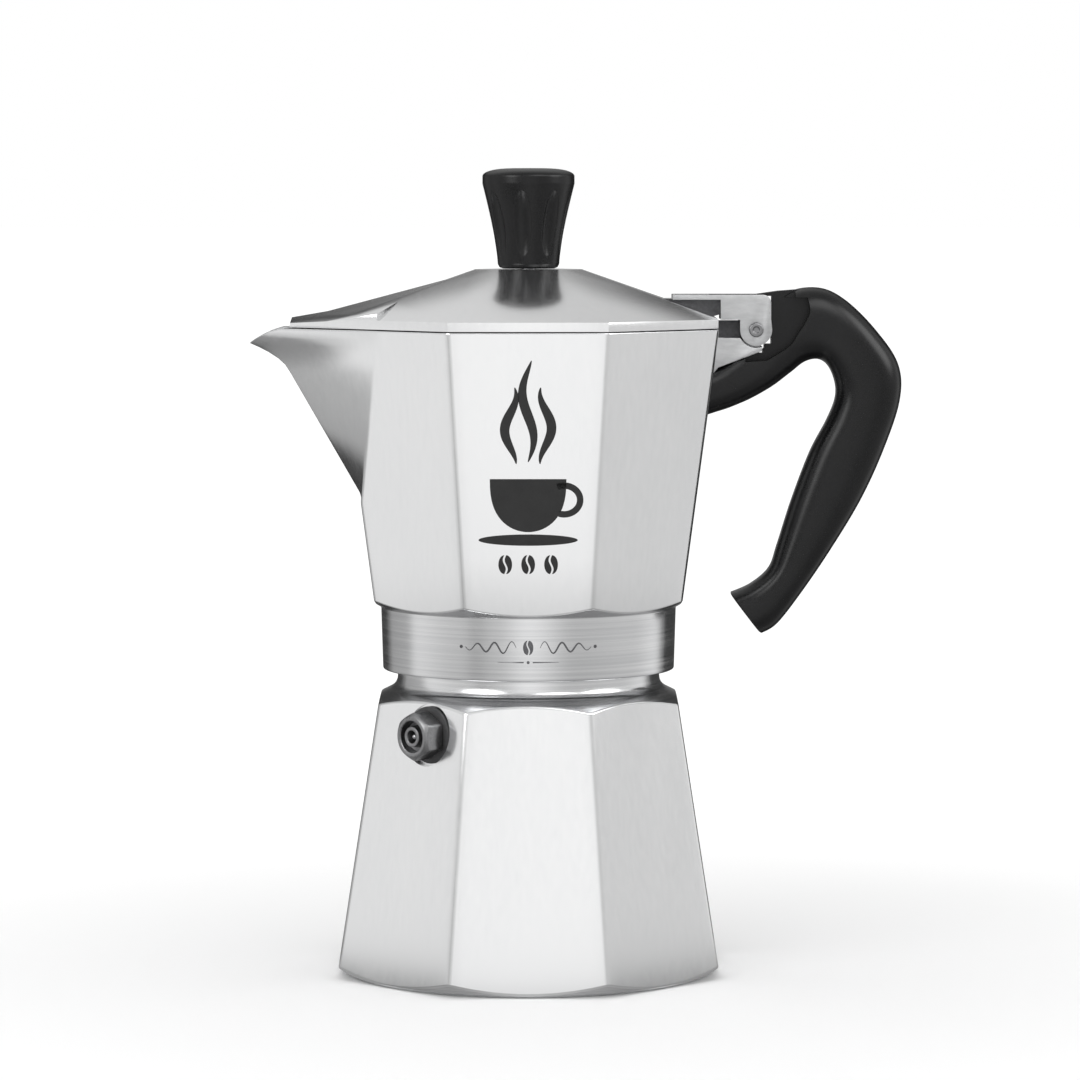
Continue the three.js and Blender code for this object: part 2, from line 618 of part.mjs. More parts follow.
function columnBore() {
  const boreTop = columnTop - COLUMN_CAP;
  const bore = turned([[0, webLow - 1], [COLUMN_FOOT_RADIUS - 2, webLow - 1],
    [COLUMN_FOOT_RADIUS - 2, recessTop], [COLUMN_BORE, columnWaist], [COLUMN_BORE, boreTop],
    [0, boreTop]], SMALL_ROUND);
  const slot = box(-COLUMN_SLOT_HALF, COLUMN_SLOT_HALF, -2 * COLUMN_RADIUS, 2 * COLUMN_RADIUS,
    boreTop - COLUMN_SLOT, boreTop);
  return add(bore, slot);
}

// The hinge lug: an eye between the lid's cheeks on a wedge that the handle seats under.
function hingeLug() {
  const inWall = chamberFlat(lugLowIn) - CHAMBER_WALL + 0.4;
  const bodyTop = pinZ - 1.4;
  const rootX = chamberFlat(lugLowIn) + 0.4;
  const heelX = chamberFlat(lugLowIn) + 1.6;
  const eyeRootX = chamberFlat(pinZ) + 1;
  const wedge = slab(outline([
    [inWall, lugLowIn - 3], [rootX, lugLowIn - 1.4], [heelX, lugLowIn], [lugReach, lugLowOut],
    [lugReach + 0.6, pinZ - 2], [inWall, bodyTop]]), ARM_HALF);
  const swing = new THREE.Shape();
  swing.absarc(pinX, pinZ, earRoom, 0, 2 * Math.PI, false);
  const nearSwing = slab(swing, ARM_HALF + 1);
  const eyeShape = new THREE.Shape();
  eyeShape.absarc(pinX, pinZ, LUG_EYE_RADIUS, -Math.PI / 3, Math.PI, false);
  eyeShape.lineTo(eyeRootX, pinZ - 2.5);
  eyeShape.lineTo(eyeRootX, lugLowOut - 1);
  eyeShape.lineTo(lugReach, lugLowOut + 0.5);
  const eye = slab(eyeShape, SLOT_HALF - SLIDE_GAP);
  const topRoom = box(rootX + 2.6, armEnd + BEYOND, -ARM_HALF - 1, ARM_HALF + 1, pinZ - 2.2, pinZ + BEYOND);
  const bore = pinShape(PIN_RADIUS + PIN_CLEARANCE, ARM_HALF + 2);
  const screwHole = rod(SCREW_RADIUS + SCREW_CLEARANCE, lugLowIn - BEYOND, lugLowOut + SCREW_GRIP + 0.4)
    .translate([handleScrewX, 0, 0]);
  return cut(add(cut(wedge, nearSwing, topRoom), eye), bore, screwHole);
}

function pinShape(radius, half) {
  return rod(radius, -half, half).rotate([90, 0, 0]).translate([pinX, 0, pinZ]);
}

function upperChamber() {
  const underside = (radius) => chamberFoot - FOOT_CUT_SLOPE * (chamberFootCorner - radius);
  const collarTop = underside(collarTopRadius);
  const footCut = turned([[0, collarTop], [collarTopRadius, collarTop], [WIDE, underside(WIDE)],
    [WIDE, chamberTop + BEYOND], [0, chamberTop + BEYOND]]);
  const low = collarTop - 1;
  const body = facets(chamberCorner(low), chamberCorner(spoutFoot), low, spoutFoot).intersect(footCut);
  const collar = turned([[0, collarBottom], [collarLowRadius, collarBottom],
    [collarTopRadius, collarTop], [collarTopRadius, collarTop + 1], [0, collarTop + 1]]);
  const spout = cut(spoutBody(0, spoutFoot, chamberTop + 1), spoutRimCutter());

  const wallCorner = CHAMBER_WALL / FLAT;
  const hollow = facets(chamberCorner(floorTop) - wallCorner, chamberCorner(spoutFoot) - wallCorner,
    floorTop, spoutFoot);
  const spoutHollow = spoutBody(CHAMBER_WALL, spoutFoot, chamberTop + 1);
  const collarRoom = turned([
    [0, collarBottom - 1], [collarRoot + RIM_CHAMFER, collarBottom - 1],
    [collarRoot + RIM_CHAMFER, collarBottom], [collarRoot, collarBottom + RIM_CHAMFER],
    [collarRoot, BOILER_HEIGHT + RIM_CHAMFER], [collarRoot - 0.5, webLow], [recessRadius, webLow], [recessRadius - 1, recessTop], [0, recessTop]]);
  // Half a pitch above the boiler's ridge, so that each ridge runs midway between the other's turns.
  const ridge = threadRidge(collarRoot + SEAT_GAP, collarBore, boilerThreadLow + THREAD_PITCH / 2);
  const shell = cut(add(body, collar, spout, hingeLug()), hollow, spoutHollow, collarRoom);
  return cut(add(shell, ridge, column()), columnBore());
}

// ---------------------------------------------------------------- lid
function pyramid() {
  return add(facets(lidCorner, lidCorner, lidLow, lidEave),
    facets(lidCorner, LID_TOP_CORNER, lidEave, lidPeak));
}

function pyramidHollow() {
  const rimCorner = lidCorner - LID_RIM_WALL / FLAT;
  const eave = lidEave + lidPitch * LID_RIM_WALL - LID_SHEET * Math.hypot(1, lidPitch);
  const roofCorner = rimCorner - (lidRoof - eave) / lidPitch / FLAT;
  return add(facets(rimCorner, rimCorner, lidLow - 1, eave), facets(rimCorner, roofCorner, eave, lidRoof));
}

// The gabled cover over the spout, or the room under it when it has an inset.
function spoutCover(inset) {
  const end = spoutReach - COVER_BACK;
  const bend = end - COVER_BEND_RUN;
  const bendHeight = lidEave + COVER_BEND_RISE;
  const ridgeFall = (lidPeak - COVER_RIDGE_DROP - bendHeight) / (bend - COVER_RIDGE_X);
  const endHeight = bendHeight - COVER_TIP_FALL * (COVER_BEND_RUN + 1);
  const under = lidLow - BEYOND;
  const side = outline([[0, under], [0, bendHeight + ridgeFall * bend], [-bend, bendHeight],
    [-end - 1, endHeight], [-end - 1, under]]);
  const options = { depth: 2 * WIDE, steps: 2, bevelEnabled: false };
  const ridged = new THREE.ExtrudeGeometry(side, options).translate(0, 0, -WIDE).rotateX(Math.PI / 2);
  const drop = inset * Math.hypot(1, ridgeFall);
  const roof = reshaped(ridged, (x, y, z) => [x, y, z - COVER_SIDE_FALL * Math.abs(y) - drop]);
  const eaveX = lidFlat - COVER_EAVE_IN;
  const eaveHalf = lidFlat * Math.SQRT2 - eaveX;
  const rootX = lidFlat - COVER_ROOT_IN;
  const rootHalf = eaveHalf - COVER_ROOT_NARROWING;
  const plan = mirroredInY([[-2, -2], [-rootX - inset, -rootHalf + inset],
    [-eaveX - 0.6 * inset, -eaveHalf + 1.6 * inset], [-end + inset, -COVER_END_HALF + inset]]);
  return roof.intersect(raised(plan, inset > 0 ? lidLow - 1 : lidLow, lidPeak));
}

// The fork: a plate that bridges from the lid's slope, and two cheeks with an ear each.
function hingeFork() {
  const plateLow = armTop - ARM_PLATE;
  const armStart = pinX - ARM_LENGTH;
  const cheekStart = pinX - CHEEK_LENGTH;
  const sunk = 3;                            // how far the fork runs into the lid's slope
  const end = new THREE.Shape();
  end.moveTo(armStart, plateLow - sunk);
  end.lineTo(armStart, armTop);
  end.lineTo(armEnd - ARM_END_ROUND, armTop);
  end.absarc(armEnd - ARM_END_ROUND, armTop - ARM_END_ROUND, ARM_END_ROUND, Math.PI / 2, 0, true);
  end.lineTo(armEnd, plateLow - sunk);
  const plate = slab(end, ARM_HALF).intersect(
    box(armStart - 1, armEnd + 1, -ARM_HALF, ARM_HALF, plateLow, armTop + 1));
  const rib = slab(outline([[armStart - sunk, lidEave], [armStart - sunk, plateLow + 0.2],
    [cheekStart + 0.5, plateLow + 0.2], [cheekStart + 0.5, cheekFoot + 1.6],
    [lidFlat - 2, cheekFoot + 0.6], [lidFlat - 4, lidEave]]), ARM_RIB_HALF);
  const cheek = new THREE.Shape();
  cheek.moveTo(cheekStart, armTop - 0.5);
  cheek.lineTo(cheekStart, cheekFoot);
  cheek.lineTo(pinX - EAR_RADIUS, cheekFoot);
  cheek.lineTo(pinX - EAR_RADIUS, pinZ);
  cheek.absarc(pinX, pinZ, EAR_RADIUS, Math.PI, 2 * Math.PI, false);
  cheek.lineTo(armEnd, cheekFoot);
  cheek.lineTo(armEnd, armTop - ARM_END_ROUND);
  cheek.absarc(armEnd - ARM_END_ROUND, armTop - ARM_END_ROUND, ARM_END_ROUND, 0, Math.PI / 2, false);
  const slot = box(pinX - ARM_SLOT_LENGTH, armEnd + 3, -SLOT_HALF, SLOT_HALF, pinZ - BEYOND, armTop + 5);
  const bore = pinShape(PIN_RADIUS + PIN_CLEARANCE, ARM_HALF + 2);
  return cut(add(plate, rib, slab(cheek, ARM_HALF)), slot, bore, pyramidHollow());
}

function lid() {
  const shell = add(pyramid(), spoutCover(0));
  const screwHole = rod(SCREW_RADIUS + SEAT_GAP, lidRoof - 1, lidPeak + 1);
  return cut(add(cut(shell, pyramidHollow(), spoutCover(LID_SHEET)), hingeFork()), screwHole);
}

// ---------------------------------------------------------------- knob and its fastening
function knob() {
  const flankSteps = 4;
  const domeSteps = 3;
  const foot = knobLow + KNOB_FOOT;
  const domeLow = knobTop - KNOB_DOME;
  const height = domeLow - KNOB_RIM - foot;
  const flare = KNOB_RIM_RADIUS - KNOB_NECK_RADIUS;
  const flank = Array.from({ length: flankSteps }, (_, i) => {
    const share = (i + 1) / flankSteps;
    return [KNOB_NECK_RADIUS + flare * share ** KNOB_FLARE, foot + height * share];
  });
  const dome = Array.from({ length: domeSteps }, (_, i) => {
    const angle = Math.PI / 2 * i / domeSteps;
    return [KNOB_RIM_RADIUS * Math.cos(angle), domeLow + KNOB_DOME * Math.sin(angle)];
  });
  const body = turned([[0, knobLow], [KNOB_FOOT_RADIUS, knobLow], [KNOB_NECK_RADIUS, foot],
    ...flank, ...dome, [0, knobTop]], ROUND);
  const middle = foot + height / 2;
  const proud = FLUTE_DEPTH;                 // how far each cutting ball stands out from the flank
  const flutes = Array.from({ length: FLUTES }, (_, i) => {
    const ball = new THREE.SphereGeometry(1, 8, 6).scale(FLUTE_DEPTH + proud, FLUTE_WIDTH, FLUTE_LENGTH);
    const radius = KNOB_NECK_RADIUS + flare / 2 + proud;
    return solid(ball.rotateY(Math.atan(flare / height)).translate(radius, 0, middle))
      .rotate([0, 0, -90 + FLUTE_TURN + 360 * i / FLUTES]);
  });
  const pocket = rod(INSERT_RADIUS + SEAT_GAP, knobLow - 1, knobLow + INSERT_LENGTH + SEAT_GAP);
  return cut(body, ...flutes, pocket);
}

function knobInsert() {
  const low = knobLow + SEAT_GAP;
  const high = knobLow + INSERT_LENGTH - SEAT_GAP;
  const bore = SCREW_RADIUS + SCREW_CLEARANCE;
  return turned([[bore, low], [INSERT_RADIUS, low], [INSERT_RADIUS, high], [bore, high]], SMALL_ROUND);
}

function knobWasher() {
  const top = lidRoof - SEAT_GAP;
  const bore = SCREW_RADIUS + SEAT_GAP;
  const edge = SCREW_HEAD_RADIUS + 1.2;
  return turned([[bore, top - WASHER], [edge, top - WASHER], [edge, top], [bore, top]], SMALL_ROUND);
}

// A pan-head screw standing on its head, with a cross recess; its shank points up.
function panScrew(headLow, length) {
  const headTop = headLow + SCREW_HEAD;
  const body = turned([[0, headLow], [SCREW_HEAD_RADIUS - 1, headLow], [SCREW_HEAD_RADIUS, headLow + 1],
    [SCREW_HEAD_RADIUS, headTop], [SCREW_RADIUS, headTop], [SCREW_RADIUS, headTop + length - 0.5],
    [SCREW_RADIUS - 0.5, headTop + length], [0, headTop + length]], SMALL_ROUND);
  const wing = 1.9;
  const width = 0.4;
  const deep = headLow + 1.2;
  return cut(body, box(-wing, wing, -width, width, headLow - 1, deep),
    box(-width, width, -wing, wing, headLow - 1, deep));
}

function knobScrew() {
  const headLow = lidRoof - 2 * SEAT_GAP - WASHER - SCREW_HEAD;
  return panScrew(headLow, LID_TOP_WALL + WASHER + KNOB_SCREW_LENGTH);
}

// ---------------------------------------------------------------- hinge pin
function hingePin() {
  const half = ARM_HALF + PIN_CLEARANCE;
  const head = rod(PIN_HEAD_RADIUS, half, half + PIN_HEAD).rotate([90, 0, 0]).translate([pinX, 0, pinZ]);
  return add(pinShape(PIN_RADIUS, half + PIN_HEAD / 2), head, head.mirror([0, 1, 0]));
}

// ---------------------------------------------------------------- handle
// Pairs of points on the handle's two lines, [inner x, inner z, outer x, outer z] from the hinge
// pin, from the pot's wall along the lower arm, over the bend, down the grip and to the end of the foot.
const HANDLE_LINES = [
  [-17.1, -24.3, -17.1, -11.7], [-11.1, -22.5, -10.1, -9.7], [-4.1, -20.1, -3.7, -5.7],
  [3.8, -15.9, 1.3, -1.1], [9.5, -11.7, 4.5, 5.3], [13.3, -8.8, 9.5, 10.3], [16.9, -8.1, 17.5, 11.2],
  [19.7, -10, 24.5, 7.8], [21.5, -14.4, 32.5, -0.1], [21.5, -18.8, 38.6, -9.3],
  [19.2, -24.6, 39.1, -19.1], [14.7, -33.2, 34.7, -32.7], [9.8, -46.2, 28.6, -46.1],
  [6, -58.3, 20.5, -59.6], [3.8, -64.5, 12.5, -71.4], [-1.1, -68.8, 6.1, -79.6],
  [-6.7, -71.3, 1.7, -82.3]];
const handleInner = new THREE.SplineCurve(HANDLE_LINES.map(([x, z]) => V2(pinX + x, pinZ + z)));
const handleOuter = new THREE.SplineCurve(HANDLE_LINES.map((pair) => V2(pinX + pair[2], pinZ + pair[3])));

function handleSweep() {
  const rounding = (value) => Math.sign(value) * Math.abs(value) ** HANDLE_SQUARENESS;
  const section = outline(Array.from({ length: HANDLE_SECTION }, (_, i) => {
    const angle = 2 * Math.PI * i / HANDLE_SECTION;
    return [rounding(Math.cos(angle)), rounding(Math.sin(angle))];
  }));
  const options = { depth: 1, steps: HANDLE_STEPS, bevelEnabled: false };
  return reshaped(new THREE.ExtrudeGeometry(section, options), (across, side, along) => {
    const point = handleInner.getPoint(along).lerp(handleOuter.getPoint(along), (across + 1) / 2);
    return [point.x, side * HANDLE_HALF, point.y];
  });
}

// The edge of the hollow that the lid's cheeks swing through, as points from the hinge pin.
const SWING_EDGE = [[2.9, -8.2], [6.1, -6.3], [9.3, -4], [11.4, -0.8], [13.3, 2.2], [14.4, 5.2]];
const SWING_START = -3;
const SWING_FOOT = -8.6;
const SWING_TOP = 13.8;
const RIM_START = 10.6;

function swingRoom() {
  const shape = new THREE.Shape();
  const edge = SWING_EDGE.map(([x, z]) => V2(pinX + x, pinZ + z));
  shape.moveTo(pinX + SWING_START, pinZ + SWING_FOOT);
  shape.lineTo(edge[0].x, edge[0].y);
  shape.splineThru([...edge.slice(1), V2(pinX + SWING_TOP, handleRimLow)]);
  shape.lineTo(pinX + SWING_START, handleRimLow);
  const wide = HANDLE_HALF + 1;
  const hollow = slab(shape, wide, { curveSegments: 3 });
  const web = slab(shape, HANDLE_WEB_HALF, { curveSegments: 3 });
  const above = (half, end) => box(pinX + SWING_START - 1, pinX + end, -half, half, handleRimLow - 0.1,
    armTop + BEYOND);
  return add(cut(hollow, web), cut(above(wide, RIM_START), above(HANDLE_RIM_HALF, RIM_START + 1)));
}

function handle() {
  const tongueTip = pinX + TONGUE_PAST_PIN;
  const tongue = slab(outline([[tongueTip, handleRimLow + 0.3], [tongueTip, armTop + 0.1],
    [pinX + 6, armTop + 0.9], [pinX + 14, armTop + 1.5], [pinX + 14, handleRimLow - 1],
    [pinX + 6, handleRimLow - 1]]), HANDLE_WEB_HALF);
  const grip = cut(handleSweep(), swingRoom());
  // Between the cheeks only the tongue reaches forward of the web's edge.
  const eyeRoom = box(pinX - BEYOND, pinX + EAR_RADIUS + WEB_GAP, -HANDLE_HALF - 1, HANDLE_HALF + 1,
    lugLowOut - WEB_GAP, armTop + BEYOND);
  const gap = SEAT_GAP / FLAT;
  const above = chamberTop + 6;
  const wall = facets(chamberCorner(chamberFoot) + gap, chamberCorner(above) + gap, chamberFoot, above);
  const flat = chamberFlat(lugLowIn);
  const past = lugReach + 0.9;
  const lugRoom = slab(outline([[flat - 4, lugLowIn - 3 - SEAT_GAP],
    [flat + 0.4, lugLowIn - 1.4 - SEAT_GAP], [flat + 1.6, lugLowIn - SEAT_GAP],
    [past - 0.7, lugLowOut - SEAT_GAP], [past, lugLowOut + 0.7], [past, pinZ + 4], [flat - 4, pinZ + 4]]),
  HANDLE_HALF + 1);
  const seat = handleScrewSeat();
  const shankHole = rod(SCREW_RADIUS + SCREW_CLEARANCE, seat - 1, pinZ).translate([handleScrewX, 0, 0]);
  const headHole = rod(SCREW_HEAD_RADIUS + SEAT_GAP, seat - BEYOND, seat).translate([handleScrewX, 0, 0]);
  return add(cut(grip, eyeRoom, wall, lugRoom, shankHole, headHole), tongue);
}

// Height of the face that the handle screw's head pulls against.
function handleScrewSeat() {
  const nearScrew = 2;                       // the line's point beside the screw
  return handleInner.getPoint(nearScrew / (HANDLE_LINES.length - 1)).y + SCREW_SINK;
}

function handleScrew() {
  const headLow = handleScrewSeat() - SEAT_GAP - SCREW_HEAD;
  const length = lugLowOut + SCREW_GRIP - headLow - SCREW_HEAD;
  return panScrew(headLow, length).translate([handleScrewX, 0, 0]);
}

// ---------------------------------------------------------------- safety valve
function hexagon(across, low, high) {
  const radius = across / 2 / Math.cos(Math.PI / 6);
  const shape = new THREE.CylinderGeometry(radius, radius, high - low, 6, 1).rotateX(Math.PI / 2);
  return solid(shape.translate(0, 0, (low + high) / 2)).rotate([0, 90, 0]);
}

const hexLow = WASHER + 2 * SEAT_GAP;
const hexTop = hexLow + VALVE_HEX;
const mouthFloor = hexTop - VALVE_MOUTH;
const springFront = mouthFloor - VALVE_WEB;
const discFront = -VALVE_SHANK + VALVE_DISC_DEPTH;
const discBack = discFront - VALVE_DISC;

function valveBody() {
  const cone = valveTurned([[0, hexLow], [VALVE_ACROSS, hexLow], [VALVE_FACE_RADIUS + 1.4, hexTop - 0.7],
    [VALVE_FACE_RADIUS, hexTop], [0, hexTop]]);
  const head = hexagon(VALVE_ACROSS, hexLow, hexTop).intersect(cone);
  const shank = valveTurned([[0, -VALVE_SHANK], [VALVE_SHANK_RADIUS - 0.5, -VALVE_SHANK],
    [VALVE_SHANK_RADIUS, -VALVE_SHANK + 0.5], [VALVE_SHANK_RADIUS, hexLow + 1], [0, hexLow + 1]]);
  const mouth = valveTurned([[VALVE_TUBE_RADIUS, mouthFloor], [VALVE_MOUTH_RADIUS, mouthFloor],
    [VALVE_MOUTH_RADIUS, hexTop + 1], [VALVE_TUBE_RADIUS, hexTop + 1]]);
  const pinHole = valveTurned([[0, springFront - 1], [VALVE_PIN_RADIUS + 0.4, springFront - 1],
    [VALVE_PIN_RADIUS + 0.4, hexTop + 1], [0, hexTop + 1]]);
  const springRoom = valveTurned([[0, -VALVE_SHANK - 1], [VALVE_BORE, -VALVE_SHANK - 1],
    [VALVE_BORE, springFront], [0, springFront]]);
  return cut(add(head, shank), mouth, pinHole, springRoom);
}

function valvePiston() {
  const pinEnd = hexTop - VALVE_PIN_SINK;
  return valveTurned([[0, discBack], [VALVE_BORE - SLIDE_GAP, discBack], [VALVE_BORE - SLIDE_GAP, discFront],
    [VALVE_PIN_RADIUS, discFront], [VALVE_PIN_RADIUS, pinEnd - 0.6],
    [VALVE_PIN_RADIUS - 0.4, pinEnd], [0, pinEnd]]);
}

function valveSeat() {
  const low = -VALVE_SHANK + 0.2;
  const high = discBack - SEAT_GAP;
  const edge = VALVE_BORE - SEAT_GAP;
  return valveTurned([[VALVE_SEAT_BORE, low], [edge, low], [edge, high], [VALVE_SEAT_BORE, high]]);
}

function valveWasher() {
  const bore = VALVE_SHANK_RADIUS + SEAT_GAP;
  const edge = VALVE_SEAT_RADIUS - WASHER_EASE;
  const high = SEAT_GAP + WASHER;
  return valveTurned([[bore, SEAT_GAP], [edge, SEAT_GAP], [edge, high], [bore, high]]);
}

class CoilCurve extends THREE.Curve {
  constructor(radius, low, high, turns) {
    super();
    Object.assign(this, { radius, low, high, turns });
  }

  getPoint(share) {
    const angle = 2 * Math.PI * this.turns * share;
    const along = this.low + (this.high - this.low) * share;
    return new THREE.Vector3(along, this.radius * Math.cos(angle), this.radius * Math.sin(angle));
  }
}

function valveSpring() {
  const radius = VALVE_BORE - SLIDE_GAP - VALVE_WIRE;
  const front = springFront - VALVE_WIRE - SEAT_GAP;
  const back = discFront + VALVE_WIRE + SEAT_GAP;
  const wire = new THREE.Shape();
  wire.absarc(0, 0, VALVE_WIRE, 0, 2 * Math.PI, false);
  const coil = new CoilCurve(radius, back, front, VALVE_COILS);
  const options = { steps: VALVE_COILS * 10, extrudePath: coil, curveSegments: 3, bevelEnabled: false };
  return solid(new THREE.ExtrudeGeometry(wire, options));
}

// ---------------------------------------------------------------- the assembly
const pot = new THREE.Group();
pot.add(
  meshOf("boiler", boiler(), CAST),
  meshOf("funnel", funnel(), SHEET_METAL),
  meshOf("funnel_disc", funnelDisc(), SHEET_METAL),
  meshOf("gasket", gasket(), RUBBER),
  meshOf("filter_plate", filterPlate(), SHEET_METAL),
  meshOf("upper_chamber", upperChamber(), CAST),
  meshOf("lid", lid(), CAST),
  meshOf("knob", knob(), BLACK),
  meshOf("knob_insert", knobInsert(), BRASS),
  meshOf("knob_washer", knobWasher(), STEEL),
  meshOf("knob_screw", knobScrew(), STEEL),
  meshOf("hinge_pin", hingePin(), STEEL),
  meshOf("handle", handle(), BLACK),
  meshOf("handle_screw", handleScrew(), STEEL));

valveFrame.add(
  meshOf("valve_body", valveBody(), STEEL),
  meshOf("valve_washer", valveWasher(), RUBBER),
  meshOf("valve_seat", valveSeat(), BRASS),
  meshOf("valve_spring", valveSpring(), STEEL),
  meshOf("valve_piston", valvePiston(), BRASS));
pot.add(valveFrame);

export default pot;
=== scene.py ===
import math

import bmesh
import bpy
from mathutils import Matrix, Vector


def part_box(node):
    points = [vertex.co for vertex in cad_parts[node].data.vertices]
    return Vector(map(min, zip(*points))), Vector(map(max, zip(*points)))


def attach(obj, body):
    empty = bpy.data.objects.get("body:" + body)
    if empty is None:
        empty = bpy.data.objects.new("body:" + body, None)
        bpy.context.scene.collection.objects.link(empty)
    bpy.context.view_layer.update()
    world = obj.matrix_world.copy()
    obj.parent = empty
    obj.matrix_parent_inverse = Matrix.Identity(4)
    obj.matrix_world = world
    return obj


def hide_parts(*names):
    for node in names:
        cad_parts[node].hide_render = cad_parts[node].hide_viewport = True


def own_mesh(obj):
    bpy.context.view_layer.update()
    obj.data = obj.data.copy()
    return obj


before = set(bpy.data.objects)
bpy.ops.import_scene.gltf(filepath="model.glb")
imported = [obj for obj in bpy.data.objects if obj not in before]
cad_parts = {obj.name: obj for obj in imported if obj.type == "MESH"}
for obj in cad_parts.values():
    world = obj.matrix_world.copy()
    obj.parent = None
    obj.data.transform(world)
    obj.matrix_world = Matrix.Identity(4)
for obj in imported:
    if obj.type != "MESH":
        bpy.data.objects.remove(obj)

scene = bpy.context.scene
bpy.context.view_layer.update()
MM = 0.001
TURN = 2 * math.pi


def heights(node):
    """The lowest and highest point of a CAD node, in millimetres."""
    low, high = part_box(node)
    return low.z / MM, high.z / MM


# ------------------------------------------------------------------ sizes shared by the pieces
SIDES = 8
HALF_FACET = math.pi / SIDES
FLAT = math.cos(HALF_FACET)                  # flat distance = corner radius x FLAT
SEAT_GAP = 0.3
ARC = 4                                      # steps round each softened upright corner
EDGE = 14                                    # steps along each flat
TURNED = 160                                 # steps round a turned surface

BOILER_HEIGHT = heights("boiler")[1]
BOILER_FOOT_CORNER = 55.7
BOILER_TAPER = 0.165
BOILER_WALL = 2.8
BOILER_FLOOR = 3
FOOT_RADIUS = 50.1
FOOT_BEVEL = 0.69
SHOULDER_CORNER_HEIGHT = 73.8
SHOULDER_SLOPE = 0.5
NECK_RADIUS = 35.4
NECK_BORE = 30.6
NECK_FILLET = 2.4

THREAD_PITCH = 3
THREAD_ROOT = 34.5
THREAD_DEPTH = 1.4
THREAD_GAP = 0.4
THREAD_TURNS = 2
THREAD_LEAD = 1.4                            # plain neck above the boiler's ridge
THREAD_SUNK = 0.2                            # how far a ridge's foot is sunk into its wall
THREAD_STEPS = 96                            # for each turn

COLLAR_BOTTOM = heights("upper_chamber")[0]
COLLAR_BOTTOM_RADIUS = 39.4
COLLAR_TOP_RADIUS = 39.9
COLLAR_ROOT = THREAD_ROOT + THREAD_DEPTH + THREAD_GAP
COLLAR_THREAD_TOP = 91.6

CHAMBER_FOOT = 101
CHAMBER_FOOT_CORNER = 44.6
CHAMBER_TOP = 174.2
CHAMBER_TOP_CORNER = 54.9
CHAMBER_WALL = 2.6
CHAMBER_WEB = 2.7
FOOT_CUT_CORNER = 101.6
FOOT_CUT_SLOPE = 0.56
STRAINER_RECESS = 2
STRAINER_RECESS_RADIUS = 28

SPOUT_FOOT = 128
SPOUT_SLOPE = 0.575
SPOUT_LIP_START = 163
SPOUT_REACH = -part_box("upper_chamber")[0].x / MM
SPOUT_TIP_HEIGHT = 170
SPOUT_RIM_DIP = 66.5
SPOUT_ROOT_HIGH = 32.3
SPOUT_NOSE = 0.6

KNOB_LOW, KNOB_TOP = heights("knob")
KNOB_RIM_RADIUS = 12.4
KNOB_NECK_RADIUS = 8.3
KNOB_FOOT_RADIUS = 7.7
KNOB_DOME = 2.2
FLUTES = 8
FLUTE_TURN = math.radians(-9)
FLUTE_LENGTH = 10.6
FLUTE_WIDTH = 3.3
FLUTE_DEPTH = 1.5

PIN_X, PIN_Z = 61.1, 173.7
ARM_TOP = 183.1
ARM_HALF = 7
SLOT_HALF = 4.6
EAR_RADIUS = 4.3
SLIDE_GAP = 0.5
LUG_LOW_OUT, LUG_LOW_IN, LUG_REACH = PIN_Z - 5.7, PIN_Z - 10.1, PIN_X + 1.5
HANDLE_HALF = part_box("handle")[1].y / MM
HANDLE_SQUARENESS = 0.72
HANDLE_WEB_HALF = 3.4                        # web between the lid's cheeks
RIM_LOW = ARM_TOP - 0.7

# Sizes of the valve, along its axis from its seat and across it
VALVE_ACROSS = 11.4                          # across the hexagon's flats
VALVE_HEX_LOW, VALVE_HEX_TOP = 1.4, 7.6
VALVE_MOUTH_FLOOR = VALVE_HEX_TOP - 2.6
VALVE_SPRING_FRONT = 3.8                     # front of the room for the spring
VALVE_SHANK_END = -8.4
VALVE_SHANK_RADIUS = 4.6
VALVE_BORE = 3.4
VALVE_SEAT_RADIUS = 8.2
VALVE_PIN_RADIUS = 1.1
VALVE_DISC_BACK, VALVE_DISC_FRONT = -5.2, -4.2
VALVE_WASHER_LOW, VALVE_WASHER_TOP = 0.3, 1.1
VALVE_WIRE = 0.35


def shares(count):
    """Even shares from 0 to 1."""
    return [i / count for i in range(count + 1)]


def spot(radius, angle, height):
    return Vector((radius * math.cos(angle), radius * math.sin(angle), height))


def on_bearing(point):
    """Gives the points at a radius and a height that stand on the same bearing as a point."""
    bearing = point.xy.normalized().to_3d()
    return lambda radius, height: bearing * radius + Vector((0, 0, height))


# ------------------------------------------------------------------ shader node groups
def new_group(name, inputs, outputs):
    group = bpy.data.node_groups.new(name, "ShaderNodeTree")
    for label, kind, value in inputs:
        socket = group.interface.new_socket(label, in_out="INPUT", socket_type=kind)
        socket.default_value = value
    for label, kind in outputs:
        group.interface.new_socket(label, in_out="OUTPUT", socket_type=kind)
    start = group.nodes.new("NodeGroupInput")
    end = group.nodes.new("NodeGroupOutput")
    return group, start, end


def preset(node, **values):
    """Sets a node's inputs by name, with _ for a space."""
    for label, value in values.items():
        node.inputs[label.replace("_", " ")].default_value = value


def maths(tree, operation, *values):
    node = tree.nodes.new("ShaderNodeMath")
    node.operation = operation
    for socket, value in zip(node.inputs, values):
        if isinstance(value, bpy.types.NodeSocket):
            tree.links.new(value, socket)
        else:
            socket.default_value = value
    return node.outputs[0]


def mapped(tree, source, low, high, start, end):
    """A value eased from start to end while its source runs from low to high."""
    ease = tree.nodes.new("ShaderNodeMapRange")
    ease.interpolation_type = "SMOOTHSTEP"
    preset(ease, From_Min=low, From_Max=high, To_Min=start, To_Max=end)
    tree.links.new(source, ease.inputs["Value"])
    return ease.outputs["Result"]


